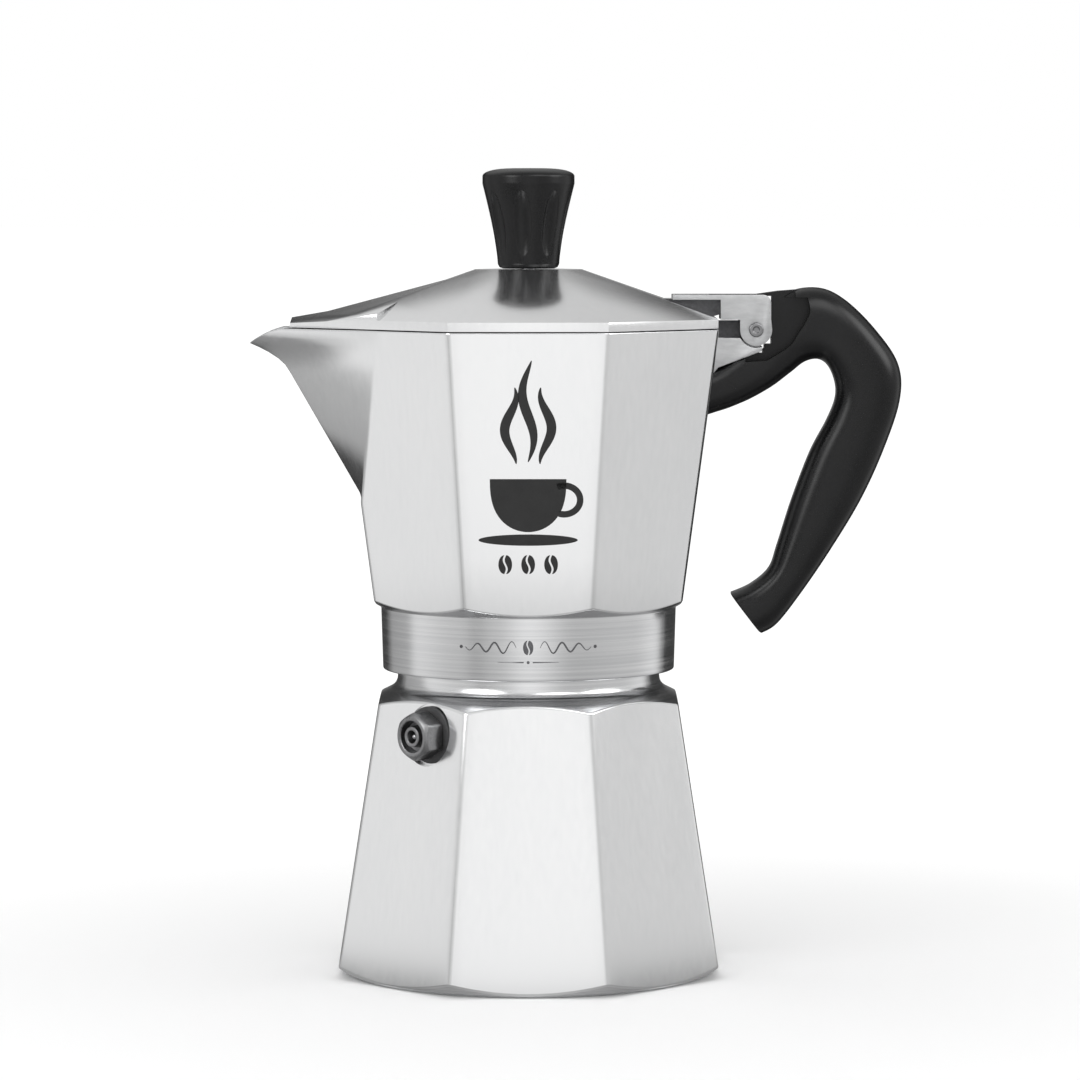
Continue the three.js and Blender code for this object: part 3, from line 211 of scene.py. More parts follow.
def between(tree, share, first, second):
    """first where share is 0 and second where it is 1."""
    mix = tree.nodes.new("ShaderNodeMix")
    tree.links.new(share, mix.inputs["Factor"])
    for socket, value in ((mix.inputs["A"], first), (mix.inputs["B"], second)):
        if isinstance(value, float):
            socket.default_value = value
        else:
            tree.links.new(value, socket)
    return mix.outputs["Result"]


def stretched_noise(tree, scale, detail):
    """Noise on the object's own coordinates, with its own scale along each axis."""
    place = tree.nodes.new("ShaderNodeTexCoord")
    mapping = tree.nodes.new("ShaderNodeMapping")
    tree.links.new(place.outputs["Object"], mapping.inputs["Vector"])
    tree.links.new(scale, mapping.inputs["Scale"])
    noise = tree.nodes.new("ShaderNodeTexNoise")
    tree.links.new(mapping.outputs["Vector"], noise.inputs["Vector"])
    preset(noise, Scale=1, Detail=detail, Roughness=0.6)
    return noise.outputs["Fac"]


def surface_group():
    """Cloudy tone, fine grain and small pits, each with its own scale, for every material."""
    group, start, end = new_group(
        "surface_grain",
        [("Cloud Scale", "NodeSocketVector", (60, 60, 60)),
         ("Grain Scale", "NodeSocketVector", (900, 900, 900)),
         ("Pit Size", "NodeSocketFloat", 400.0), ("Pit Share", "NodeSocketFloat", 0.3)],
        [("Cloud", "NodeSocketFloat"), ("Grain", "NodeSocketFloat"), ("Pits", "NodeSocketFloat")])
    cloud = stretched_noise(group, start.outputs["Cloud Scale"], 4)
    grain = stretched_noise(group, start.outputs["Grain Scale"], 6)
    place = group.nodes.new("ShaderNodeTexCoord")
    cells = group.nodes.new("ShaderNodeTexVoronoi")
    group.links.new(place.outputs["Object"], cells.inputs["Vector"])
    group.links.new(start.outputs["Pit Size"], cells.inputs["Scale"])
    depth = maths(group, "SUBTRACT", start.outputs["Pit Share"], cells.outputs["Distance"])
    pits = maths(group, "MAXIMUM", depth, 0.0)
    group.links.new(cloud, end.inputs["Cloud"])
    group.links.new(grain, end.inputs["Grain"])
    group.links.new(pits, end.inputs["Pits"])
    return group


SURFACE = surface_group()


def finish_of(name, dark, light, metallic, rough_low, rough_high, cloud, grain, bump,
              pits=(400.0, 0.0), **plain):
    """A material whose colour, roughness and relief come from the surface group."""
    material = bpy.data.materials.new(name)
    material.use_nodes = True
    tree = material.node_tree
    shader = tree.nodes["Principled BSDF"]
    surface = tree.nodes.new("ShaderNodeGroup")
    surface.node_tree = SURFACE
    preset(surface, Cloud_Scale=cloud, Grain_Scale=grain, Pit_Size=pits[0], Pit_Share=pits[1])
    mixed = maths(tree, "ADD", maths(tree, "MULTIPLY", surface.outputs["Cloud"], 0.6),
                  maths(tree, "MULTIPLY", surface.outputs["Grain"], 0.4))
    colour = tree.nodes.new("ShaderNodeValToRGB")
    colour.color_ramp.elements[0].position = 0.35
    colour.color_ramp.elements[1].position = 0.65
    colour.color_ramp.elements[0].color = (*dark, 1)
    colour.color_ramp.elements[1].color = (*light, 1)
    tree.links.new(mixed, colour.inputs["Fac"])
    tree.links.new(colour.outputs["Color"], shader.inputs["Base Color"])
    rough = tree.nodes.new("ShaderNodeMapRange")
    preset(rough, From_Min=0.3, From_Max=0.7, To_Min=rough_low, To_Max=rough_high)
    tree.links.new(mixed, rough.inputs["Value"])
    tree.links.new(rough.outputs["Result"], shader.inputs["Roughness"])
    relief = tree.nodes.new("ShaderNodeBump")
    preset(relief, Strength=1, Distance=bump)
    pit_depth = maths(tree, "MULTIPLY", surface.outputs["Pits"], 6.0)
    height = maths(tree, "SUBTRACT", surface.outputs["Grain"], pit_depth)
    tree.links.new(height, relief.inputs["Height"])
    tree.links.new(relief.outputs["Normal"], shader.inputs["Normal"])
    preset(shader, Metallic=metallic, **plain)
    return material


POLISHED = finish_of("polished_cast_aluminium", (0.86, 0.865, 0.87), (0.92, 0.922, 0.925), 1, 0.14, 0.24,
                     (25, 25, 12), (700, 700, 240), 0.0000035)
# Turned aluminium: the fine turning lines are its own, but its colour is painted darker than the polished
# cast, a painted shade for the dark bands on the collar, foot and shoulder
LATHED_PAINTED_DARKER = finish_of("turned_cast_aluminium_painted_darker", (0.66, 0.665, 0.675), (0.86, 0.862, 0.865), 1, 0.12, 0.26,
                   (4, 4, 900), (12, 12, 2600), 0.000004)
FORK_CAST = finish_of("brushed_cast_aluminium", (0.42, 0.425, 0.43), (0.60, 0.604, 0.608), 1, 0.3, 0.42,
                      (60, 60, 160), (300, 900, 900), 0.000008)
# Near-black cast aluminium: painted shade for the hollow beside the lid fork's rib and for the lug's web
# between the cheeks
PAINTED_SHADE_CAST = finish_of("painted_shade_cast_aluminium", (0.05, 0.05, 0.052), (0.12, 0.12, 0.124), 1, 0.5, 0.65,
                        (60, 60, 60), (1200, 1200, 1200), 0.00001)
RAW_CAST = finish_of("raw_cast_aluminium", (0.62, 0.625, 0.635), (0.80, 0.805, 0.81), 1, 0.38, 0.55,
                     (60, 60, 60), (1500, 1500, 1500), 0.00003, (700.0, 0.2))
SHEET = finish_of("pressed_sheet_aluminium", (0.72, 0.725, 0.735), (0.86, 0.865, 0.87), 1, 0.26, 0.42,
                  (40, 40, 90), (260, 260, 1800), 0.00001)
STEEL = finish_of("bright_steel", (0.50, 0.50, 0.51), (0.66, 0.66, 0.67), 1, 0.2, 0.36,
                  (90, 90, 90), (1400, 1400, 1400), 0.000008)
VALVE_STEEL = finish_of("dark_valve_steel", (0.20, 0.20, 0.205), (0.34, 0.34, 0.345), 1, 0.24, 0.4,
                        (120, 120, 120), (1600, 1600, 1600), 0.00001)
BRASS = finish_of("valve_brass", (0.50, 0.36, 0.15), (0.66, 0.50, 0.24), 1, 0.24, 0.4,
                  (100, 100, 100), (1500, 1500, 1500), 0.000008)
BLACK = finish_of("moulded_black_plastic", (0.003, 0.003, 0.0033), (0.007, 0.007, 0.0075), 0, 0.24, 0.34,
                  (40, 40, 40), (1300, 1300, 1300), 0.000012, (500.0, 0.12), Specular_IOR_Level=0.3)
RUBBER = finish_of("pale_gasket_rubber", (0.74, 0.72, 0.66), (0.84, 0.82, 0.77), 0, 0.55, 0.75,
                   (80, 80, 80), (1200, 1200, 1200), 0.00002)
DARK_RUBBER = finish_of("dark_gasket_rubber", (0.03, 0.03, 0.031), (0.07, 0.07, 0.072), 0, 0.5, 0.7,
                        (80, 80, 80), (1200, 1200, 1200), 0.00002)
INK = finish_of("printed_black_ink", (0.004, 0.004, 0.004), (0.012, 0.012, 0.012), 0, 0.35, 0.5,
                (200, 200, 200), (2500, 2500, 2500), 0.000004)
ENGRAVED = finish_of("engraved_line", (0.10, 0.10, 0.105), (0.20, 0.20, 0.21), 1, 0.35, 0.55,
                     (200, 200, 200), (2500, 2500, 2500), 0.000004)


# ------------------------------------------------------------------ building helpers
def placed(piece, body, slot_name, *nodes):
    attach(piece, body)
    if nodes:
        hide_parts(*nodes)
    return piece


def made(bm, name, *looks, sharp=30):
    """Turns a bmesh in millimetres into an object in metres, smooth but for its sharp edges."""
    bmesh.ops.scale(bm, vec=(MM, MM, MM), verts=bm.verts)
    mesh = bpy.data.meshes.new(name)
    bm.to_mesh(mesh)
    bm.free()
    for look in looks:
        mesh.materials.append(look)
    smoothed(mesh, sharp)
    piece = bpy.data.objects.new(name, mesh)
    scene.collection.objects.link(piece)
    return piece


def smoothed(mesh, sharp):
    mesh.polygons.foreach_set("use_smooth", [True] * len(mesh.polygons))
    mesh.set_sharp_from_angle(angle=math.radians(sharp))


def soft_corner(before, corner, after, reach, share):
    """A point on the curve that rounds a corner: share runs from 0 at its start to 1 at its end."""
    start = corner + (before - corner).normalized() * reach
    end = corner + (after - corner).normalized() * reach
    return start.lerp(corner, share).lerp(corner.lerp(end, share), share)


def softened(keys, steps=4):
    """A path's points and the look that follows each: a key is (corner, reach, look)."""
    points = []
    for i, (corner, reach, look) in enumerate(keys):
        if reach == 0:
            points.append((corner, look))
            continue
        before, after = keys[i - 1][0], keys[i + 1][0]
        points += [(soft_corner(before, corner, after, reach, share), look) for share in shares(steps)]
    return points


def woven(path, columns):
    """A skin round the Z axis whose every column follows its own path of keys."""
    grid = [softened(path(column)) for column in range(columns)]
    bm = bmesh.new()
    seam = [bm.verts.new((1, 0, row)) for row in range(len(grid[0]))]
    for low, high in zip(seam, seam[1:]):
        bm.edges.new((low, high))
    bmesh.ops.spin(bm, geom=bm.verts[:] + bm.edges[:], cent=(0, 0, 0), axis=(0, 0, 1), dvec=(0, 0, 0),
                   angle=TURN, steps=columns, use_merge=True, use_duplicate=False)
    for face in bm.faces:
        face.material_index = grid[0][int(face.calc_center_median().z)][1]
    for vert in bm.verts:
        column = round(math.atan2(vert.co.y, vert.co.x) / TURN * columns) % columns
        vert.co = grid[column][round(vert.co.z)][0]
    bmesh.ops.remove_doubles(bm, verts=bm.verts, dist=0.0005)
    bmesh.ops.recalc_face_normals(bm, faces=bm.faces)
    return bm


def turned(keys, columns=TURNED):
    """A turned body: a key is (radius, height, reach), and the reach may be left out."""
    full = [(*key, 0)[:3] for key in keys]

    def path(column):
        angle = TURN * column / columns
        return [(spot(radius, angle, height), reach, 0) for radius, height, reach in full]

    return woven(path, columns)


def prism(outline, low, high):
    """An outline of (x, z) points drawn out along Y."""
    bm = bmesh.new()
    face = bm.faces.new([bm.verts.new((x, low, z)) for x, z in outline])
    grown = bmesh.ops.extrude_face_region(bm, geom=[face])["geom"]
    far = [part for part in grown if isinstance(part, bmesh.types.BMVert)]
    bmesh.ops.translate(bm, vec=(0, high - low, 0), verts=far)
    bmesh.ops.recalc_face_normals(bm, faces=bm.faces)
    return bm


def coiled(bm, turns, steps, rise):
    """Spins a bmesh's one face round Z into a solid coil that rises so much in all."""
    bmesh.ops.spin(bm, geom=bm.faces[:], cent=(0, 0, 0), axis=(0, 0, 1), angle=TURN * turns,
                   dvec=(0, 0, rise / steps), steps=steps, use_merge=False, use_duplicate=False)
    bmesh.ops.holes_fill(bm, edges=[edge for edge in bm.edges if edge.is_boundary], sides=0)
    bmesh.ops.recalc_face_normals(bm, faces=bm.faces)
    return bm


def block(x_low, x_high, y_low, y_high, z_low, z_high):
    return prism([(x_low, z_low), (x_high, z_low), (x_high, z_high), (x_low, z_high)], y_low, y_high)


def combined(piece, how, *tools):
    """Cuts tools from a piece or joins them to it, as how says, and removes the tools."""
    for tool_mesh in tools:
        tool = made(tool_mesh, "tool")
        step = piece.modifiers.new("join", "BOOLEAN")
        step.operation = how
        step.solver = "EXACT"
        step.object = tool
        settled = piece.evaluated_get(bpy.context.evaluated_depsgraph_get())
        mesh = bpy.data.meshes.new_from_object(settled)
        piece.modifiers.clear()
        piece.data = mesh
        bpy.data.objects.remove(tool)
    return piece


def edges_eased(piece, width, angle=25):
    """Rounds a piece's sharp edges by a small bevel."""
    bm = bmesh.new()
    bm.from_mesh(piece.data)
    bmesh.ops.remove_doubles(bm, verts=bm.verts, dist=0.000002)
    bmesh.ops.dissolve_limit(bm, angle_limit=math.radians(0.4), verts=bm.verts, edges=bm.edges)
    sharp = [edge for edge in bm.edges
             if len(edge.link_faces) == 2 and edge.calc_face_angle() > math.radians(angle)]
    bmesh.ops.bevel(bm, geom=sharp, offset=width * MM, segments=2, profile=0.5, affect="EDGES",
                    clamp_overlap=True, material=-1)
    bm.to_mesh(piece.data)
    bm.free()
    smoothed(piece.data, 50)
    return piece


def copy_of(node, name, look):
    """A copy of a CAD node's mesh, which easing its edges also merges."""
    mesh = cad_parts[node].data.copy()
    mesh.materials.clear()
    mesh.materials.append(look)
    piece = bpy.data.objects.new(name, mesh)
    scene.collection.objects.link(piece)
    return piece


def polygon_point(corners, reaches, column):
    """A point of a polygon whose corners are softened, by its column."""
    index, step = divmod(column, ARC + EDGE)
    count = len(corners)
    before, here, after = corners[index - 1], corners[index], corners[(index + 1) % count]
    if step <= ARC:
        return soft_corner(before, here, after, reaches[index], step / ARC)
    start = soft_corner(before, here, after, reaches[index], 1)
    following = (index + 1) % count
    end = soft_corner(here, after, corners[(index + 2) % count], reaches[following], 0)
    return start.lerp(end, (step - ARC) / EDGE)


def octagon(corner):
    return [spot(corner, HALF_FACET * (2 * i + 1), 0) for i in range(SIDES)]


# ------------------------------------------------------------------ boiler
def boiler_corner(height):
    return BOILER_FOOT_CORNER - BOILER_TAPER * height


def boiler_wall(column, height):
    point = polygon_point(octagon(boiler_corner(height)), [1.1] * SIDES, column)
    return point + Vector((0, 0, height))


def crease(wall, column, cone, height):
    """Where a wall's column meets a turned cone, which gives a height for each radius."""
    for _ in range(12):
        height = cone(wall(column, height).xy.length)
    return wall(column, height)


def boiler_foot(radius):
    return FOOT_BEVEL * (radius - FOOT_RADIUS)


def boiler_shoulder(radius):
    return SHOULDER_CORNER_HEIGHT + SHOULDER_SLOPE * (boiler_corner(SHOULDER_CORNER_HEIGHT) - radius)


def boiler_path(column):
    at = on_bearing(boiler_wall(column, 0))
    neck_top = COLLAR_BOTTOM - SEAT_GAP
    inner = boiler_corner(SHOULDER_CORNER_HEIGHT) * FLAT - BOILER_WALL
    inner_low = boiler_corner(BOILER_FLOOR) * FLAT - BOILER_WALL
    inner_shoulder = SHOULDER_CORNER_HEIGHT - BOILER_WALL
    return [
        (at(0, 0), 0, 1), (at(FOOT_RADIUS - 12, 0), 0, 1), (at(FOOT_RADIUS, 0), 0.5, 1),
        (crease(boiler_wall, column, boiler_foot, 1), 0.45, 0),
        (boiler_wall(column, 25), 0, 0), (boiler_wall(column, 50), 0, 0),
        (crease(boiler_wall, column, boiler_shoulder, SHOULDER_CORNER_HEIGHT), 0.5, 1),
        (at(NECK_RADIUS, boiler_shoulder(NECK_RADIUS)), NECK_FILLET, 1),
        (at(NECK_RADIUS, neck_top), 0.3, 1), (at(THREAD_ROOT, neck_top + 0.9), 0.3, 1),
        (at(THREAD_ROOT, BOILER_HEIGHT), 0.5, 1), (at(NECK_BORE, BOILER_HEIGHT), 0.5, 1),
        (at(NECK_BORE, inner_shoulder + 0.8 * (inner - NECK_BORE)), 3, 2),
        (at(inner, inner_shoulder), 4, 2), (at(inner_low, BOILER_FLOOR), 4, 2), (at(0, BOILER_FLOOR), 0, 2)]


def valve_place():
    """The valve's own frame: its seat is the origin and +Z runs out from it."""
    low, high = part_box("valve_washer")
    out = Matrix.Rotation(math.radians(-135), 4, "Z")
    washer_middle = (VALVE_WASHER_LOW + VALVE_WASHER_TOP) / 2 * MM
    seat = (low + high) / 2 - (out @ Vector((washer_middle, 0, 0)))
    return Matrix.Translation(seat / MM) @ out @ Matrix.Rotation(math.pi / 2, 4, "Y")


VALVE_PLACE = valve_place()


def at_valve(bm):
    """Stands a body that was turned round Z on the valve's seat."""
    bmesh.ops.transform(bm, matrix=VALVE_PLACE, verts=bm.verts)
    return bm


def boiler():
    piece = made(woven(boiler_path, SIDES * (ARC + EDGE)), "boiler_body", POLISHED, LATHED_PAINTED_DARKER, RAW_CAST)
    hole, beyond = VALVE_SHANK_RADIUS + SEAT_GAP, 20
    seat = at_valve(turned([(0, -beyond), (hole, -beyond), (hole, 0), (VALVE_SEAT_RADIUS, 0),
                            (VALVE_SEAT_RADIUS, beyond), (0, beyond)], 96))
    combined(piece, "DIFFERENCE", seat)
    smoothed(piece.data, 30)
    return placed(piece, "boiler", "cast_aluminium", "boiler")


# ------------------------------------------------------------------ screw threads
def thread_ridge(foot, crest, low):
    """One ridge of a right-hand thread, spun upward as it turns."""
    bm = bmesh.new()
    half_foot, half_crest = 0.8, 0.3
    corners = [(foot, -half_foot), (crest, -half_crest), (crest, half_crest), (foot, half_foot)]
    bm.faces.new([bm.verts.new((radius, 0, low + height)) for radius, height in corners])
    return coiled(bm, THREAD_TURNS, THREAD_TURNS * THREAD_STEPS, THREAD_TURNS * THREAD_PITCH)


def threads():
    low = BOILER_HEIGHT - THREAD_LEAD - THREAD_PITCH * THREAD_TURNS
    ridge = thread_ridge(THREAD_ROOT - THREAD_SUNK, THREAD_ROOT + THREAD_DEPTH, low)
    placed(made(ridge, "boiler_thread", LATHED_PAINTED_DARKER), "boiler", "cast_aluminium")
    ridge = thread_ridge(COLLAR_ROOT + THREAD_SUNK, THREAD_ROOT + THREAD_GAP, low + THREAD_PITCH / 2)
    placed(made(ridge, "collar_thread", LATHED_PAINTED_DARKER), "upper_chamber", "cast_aluminium")


# ------------------------------------------------------------------ upper chamber
PLATE_TOP = heights("filter_plate")[1]
WEB_LOW = PLATE_TOP + SEAT_GAP
FLOOR_TOP = WEB_LOW + STRAINER_RECESS + CHAMBER_WEB


def chamber_corner(height):
    taper = (CHAMBER_TOP_CORNER - CHAMBER_FOOT_CORNER) / (CHAMBER_TOP - CHAMBER_FOOT)
    return CHAMBER_FOOT_CORNER + taper * (height - CHAMBER_FOOT)


def chamber_flat(height):
    return chamber_corner(height) * FLAT


def keel_reach(height):
    """How far the spout's keel stands out: the flat below the spout, then straight, then flaring."""
    if height <= SPOUT_FOOT:
        return chamber_flat(height)
    straight = chamber_flat(SPOUT_FOOT) + SPOUT_SLOPE * (height - SPOUT_FOOT)
    if height <= SPOUT_LIP_START:
        return straight
    most = 1.3
    rise = min(most, (height - SPOUT_LIP_START) / (SPOUT_TIP_HEIGHT - SPOUT_LIP_START))
    lip = SPOUT_REACH - (chamber_flat(SPOUT_FOOT) + SPOUT_SLOPE * (SPOUT_TIP_HEIGHT - SPOUT_FOOT))
    return straight + lip * rise ** 2


def spout_root_half(height):
    if height <= SPOUT_FOOT:
        return chamber_corner(height) * math.sin(HALF_FACET)
    low = chamber_corner(SPOUT_FOOT) * math.sin(HALF_FACET)
    return low + (SPOUT_ROOT_HIGH - low) * (height - SPOUT_FOOT) / (CHAMBER_TOP - SPOUT_FOOT)


def chamber_section(height, wall):
    """The ten corners of the chamber with its spout at a height, moved inward by a wall."""
    flat, half, keel = chamber_flat(height), spout_root_half(height), keel_reach(height)
    reach = flat if height <= SPOUT_FOOT else flat * math.sqrt(2) - half
    slope = (keel - reach) / half
    inner_keel = keel - wall * math.hypot(1, slope)
    inner_half = ((flat - wall) * math.sqrt(2) - inner_keel) / (1 - slope)
    inner_reach = inner_keel - slope * inner_half
    corner = chamber_corner(height) - wall / FLAT
    near = [(-inner_keel, -SPOUT_NOSE), (-inner_reach, -inner_half)]
    near += [(corner * math.cos(a), -corner * math.sin(a)) for a in (HALF_FACET * n for n in (5, 3, 1))]
    ring = near + [(x, -y) for x, y in reversed(near)]
    return [Vector((x, y, 0)) for x, y in ring]


CHAMBER_SOFT = [0.4, 1, 1.1, 1.1, 1.1, 1.1, 1.1, 1.1, 1, 0.4]


def chamber_wall(column, height, wall=0):
    point = polygon_point(chamber_section(height, wall), CHAMBER_SOFT, column)
    return point + Vector((0, 0, height))


def rim_height(x):
    """The rim is level, and falls towards the tip of the spout."""
    past = max(0, -x - SPOUT_RIM_DIP) / (SPOUT_REACH - SPOUT_RIM_DIP)
    return CHAMBER_TOP - (CHAMBER_TOP - SPOUT_TIP_HEIGHT) * past ** 1.5


def rim_of(column, wall):
    """The height where a wall's column meets the rim."""
    low, high = SPOUT_LIP_START - 5, CHAMBER_TOP
    for _ in range(24):
        middle = (low + high) / 2
        if rim_height(chamber_wall(column, middle, wall).x) > middle:
            low = middle
        else:
            high = middle
    return low


def chamber_foot(radius):
    return FOOT_CUT_CORNER - FOOT_CUT_SLOPE * (chamber_corner(FOOT_CUT_CORNER) - radius)


def chamber_path(column):
    at = on_bearing(chamber_wall(column, CHAMBER_FOOT))
    steps = (0.25, 0.5, 0.75, 0.81, 0.86, 0.9, 0.94, 0.97)
    outer_rim, inner_rim = rim_of(column, 0), rim_of(column, CHAMBER_WALL)
    outer = [(chamber_wall(column, SPOUT_FOOT + (outer_rim - SPOUT_FOOT) * s), 0, 0) for s in steps]
    inner = [(chamber_wall(column, SPOUT_FOOT + (inner_rim - SPOUT_FOOT) * s, CHAMBER_WALL), 0, 2)
             for s in reversed(steps)]
    recess = WEB_LOW + STRAINER_RECESS
    return [
        (at(0, recess), 0, 2), (at(STRAINER_RECESS_RADIUS - 1, recess), 0.3, 2),
        (at(STRAINER_RECESS_RADIUS, WEB_LOW), 0.3, 1), (at(COLLAR_ROOT - 0.5, WEB_LOW), 0.2, 1),
        (at(COLLAR_ROOT, COLLAR_THREAD_TOP), 0, 1), (at(COLLAR_ROOT, COLLAR_BOTTOM + 0.7), 0, 1),
        (at(COLLAR_ROOT + 0.7, COLLAR_BOTTOM), 0.2, 1), (at(COLLAR_BOTTOM_RADIUS, COLLAR_BOTTOM), 0.45, 1),
        (at(COLLAR_TOP_RADIUS, chamber_foot(COLLAR_TOP_RADIUS)), 0.25, 1),
        (crease(chamber_wall, column, chamber_foot, CHAMBER_FOOT), 0.4, 0),
        (chamber_wall(column, 115), 0, 0), (chamber_wall(column, SPOUT_FOOT), 0.6, 0), *outer,
        (chamber_wall(column, outer_rim), 0.4, 1), (chamber_wall(column, inner_rim, CHAMBER_WALL), 0.5, 2),
        *inner, (chamber_wall(column, SPOUT_FOOT, CHAMBER_WALL), 0.6, 2),
        (chamber_wall(column, FLOOR_TOP, CHAMBER_WALL), 2.5, 2), (at(20, FLOOR_TOP), 0, 2),
        (at(0, FLOOR_TOP), 0, 2)]


def upper_chamber():
    columns = len(CHAMBER_SOFT) * (ARC + EDGE)
    piece = made(woven(chamber_path, columns), "chamber_body", POLISHED, LATHED_PAINTED_DARKER, RAW_CAST)
    return placed(piece, "upper_chamber", "cast_aluminium", "upper_chamber")


def coffee_post():
    """The column that the coffee rises through, with a side opening under its cap."""
    top, bore, cap = CHAMBER_TOP - 14.2, 3.2, 3
    bm = turned([
        (bore, FLOOR_TOP - 1), (10, FLOOR_TOP - 1), (9.4, FLOOR_TOP, 0.3), (6.4, FLOOR_TOP + 3, 2),
        (5.6, FLOOR_TOP + 12, 1), (5.4, top, 2.2), (0, top), (0, top - cap), (bore, top - cap, 0.6),
        (bore, FLOOR_TOP - 1)], 72)
    piece = made(bm, "coffee_post", RAW_CAST)
    combined(piece, "DIFFERENCE", block(-1.8, 1.8, -12, 12, top - cap - 8, top - cap))
    smoothed(piece.data, 35)
    return placed(piece, "upper_chamber", "cast_aluminium")


# ------------------------------------------------------------------ hinge lug and pin
def rod(radius, length):
    bm = bmesh.new()
    bmesh.ops.create_cone(bm, cap_ends=True, segments=64, radius1=radius, radius2=radius, depth=length)
    return bm


def along_pin(bm):
    """Lays a body that was made round Z along the hinge pin."""
    bmesh.ops.rotate(bm, cent=(0, 0, 0), matrix=Matrix.Rotation(math.pi / 2, 3, "X"), verts=bm.verts)
    bmesh.ops.translate(bm, vec=(PIN_X, 0, PIN_Z), verts=bm.verts)
    return bm


def hinge_lug():
    in_wall = chamber_flat(LUG_LOW_IN) - 1.2
    heel = chamber_flat(LUG_LOW_IN)
    wedge = [(in_wall, LUG_LOW_IN - 3), (heel + 0.4, LUG_LOW_IN - 1.4), (heel + 1.6, LUG_LOW_IN),
             (LUG_REACH, LUG_LOW_OUT), (LUG_REACH + 0.6, PIN_Z - 2), (in_wall, PIN_Z - 2.2)]
    piece = made(prism(wedge, -ARM_HALF, ARM_HALF), "hinge_lug", FORK_CAST)
    combined(piece, "DIFFERENCE", along_pin(rod(EAR_RADIUS + SLIDE_GAP, 2 * ARM_HALF + 2)),
             block(heel + 3, PIN_X + 10, -ARM_HALF - 1, ARM_HALF + 1, PIN_Z - 2.2, PIN_Z + 10))
    root = chamber_flat(PIN_Z) + 0.6
    eye_half, eye_radius = SLOT_HALF - SLIDE_GAP, 3.9
    cheek = [(root, PIN_Z - 3), (PIN_X - 2, PIN_Z - 3), (PIN_X, PIN_Z - 1), (LUG_REACH, LUG_LOW_OUT + 0.5),
             (root, LUG_LOW_OUT - 1)]
    combined(piece, "UNION", prism(cheek, -eye_half, eye_half), along_pin(rod(eye_radius, 2 * eye_half)))
    edges_eased(piece, 0.3, angle=30)
    clear_of_lid, web_top = PIN_X - 10.2, PIN_Z + 2.3
    outline = [(root - 0.6, PIN_Z - 4), (root - 0.6, PIN_Z - 0.9), (clear_of_lid, PIN_Z - 0.9),
               (clear_of_lid, web_top), (PIN_X - 3, web_top), (PIN_X - 3, PIN_Z - 4)]
    # The web takes the near-black painted shade material, a painted shade for its recess between the lid's
    # cheeks
    web = made(prism(outline, 0.3 - eye_half, eye_half - 0.3), "lug_web", PAINTED_SHADE_CAST)
    placed(web, "upper_chamber", "cast_aluminium")
    return placed(piece, "upper_chamber", "cast_aluminium")


def hinge_pin():
    """A riveted pin: a domed ring at each end of a plain shaft."""
    half, shaft, ring, dimple = ARM_HALF + 0.2, 1.35, 1.9, 0.95
    head = [(shaft, half, 0.05), (ring, half, 0.1), (ring, half + 0.6, 0.35), (dimple, half + 0.7, 0.15),
            (dimple - 0.2, half + 0.35, 0.15), (0, half + 0.35, 0)]
    tail = [(radius, -height, reach) for radius, height, reach in reversed(head)]
    bm = along_pin(turned(tail + head, 64))
    return placed(made(bm, "riveted_pin", VALVE_STEEL), "upper_chamber", "steel", "hinge_pin")


# ------------------------------------------------------------------ knob
def knob_radius(height):
    shoulder = KNOB_TOP - KNOB_DOME - 2
    foot = KNOB_LOW + 1.2
    if height <= foot:
        share = (height - KNOB_LOW) / (foot - KNOB_LOW)
        return KNOB_FOOT_RADIUS + (KNOB_NECK_RADIUS - KNOB_FOOT_RADIUS) * share
    share = min(1, (height - foot) / (shoulder - foot))
    return KNOB_NECK_RADIUS + (KNOB_RIM_RADIUS - KNOB_NECK_RADIUS) * share ** 1.35


def fluted(radius, angle, height):
    """The radius left at an angle by the almond-shaped hollows round the grip."""
    step = TURN / FLUTES
    away = (angle - FLUTE_TURN + math.pi / 2 + step / 2) % step - step / 2
    middle = (KNOB_LOW + KNOB_TOP - KNOB_DOME - 2) / 2 + 0.4
    lean = math.atan2(KNOB_RIM_RADIUS - KNOB_NECK_RADIUS, KNOB_TOP - KNOB_LOW - 5.4)
    centre = (KNOB_NECK_RADIUS + KNOB_RIM_RADIUS) / 2 + 1.4
    rise = height - middle
    across = -centre * math.cos(lean) - rise * math.sin(lean)
    along = -centre * math.sin(lean) + rise * math.cos(lean)
    line = [(math.cos(away) * math.cos(lean), across, FLUTE_DEPTH + 1.5), (math.sin(away), 0, FLUTE_WIDTH),
            (math.cos(away) * math.sin(lean), along, FLUTE_LENGTH)]
    a = sum((slope / size) ** 2 for slope, offset, size in line)
    b = sum(slope * offset / size ** 2 for slope, offset, size in line)
    c = sum((offset / size) ** 2 for slope, offset, size in line) - 1
    if b * b <= a * c:
        return radius
    return min(radius, (-b - math.sqrt(b * b - a * c)) / a)


def knob():
    columns, rows, dome_rows = FLUTES * 44, 84, 12
    start, shoulder = KNOB_LOW + 0.3, KNOB_TOP - KNOB_DOME

    def path(column):
        angle = TURN * column / columns
        keys = [(spot(0, angle, KNOB_LOW), 0, 0), (spot(KNOB_FOOT_RADIUS - 0.6, angle, KNOB_LOW), 0, 0)]
        for share in shares(rows):
            height = start + (shoulder - start) * share
            keys.append((spot(fluted(knob_radius(height), angle, height), angle, height), 0, 0))
        for share in shares(dome_rows)[1:]:
            turn = math.pi / 2 * share
            radius = KNOB_RIM_RADIUS * math.cos(turn) ** 0.55 if share < 1 else 0
            keys.append((spot(radius, angle, shoulder + KNOB_DOME * math.sin(turn)), 0, 0))
        return keys

    piece = made(woven(path, columns), "knob_grip", BLACK, sharp=60)
    return placed(piece, "lid", "black_plastic", "knob")


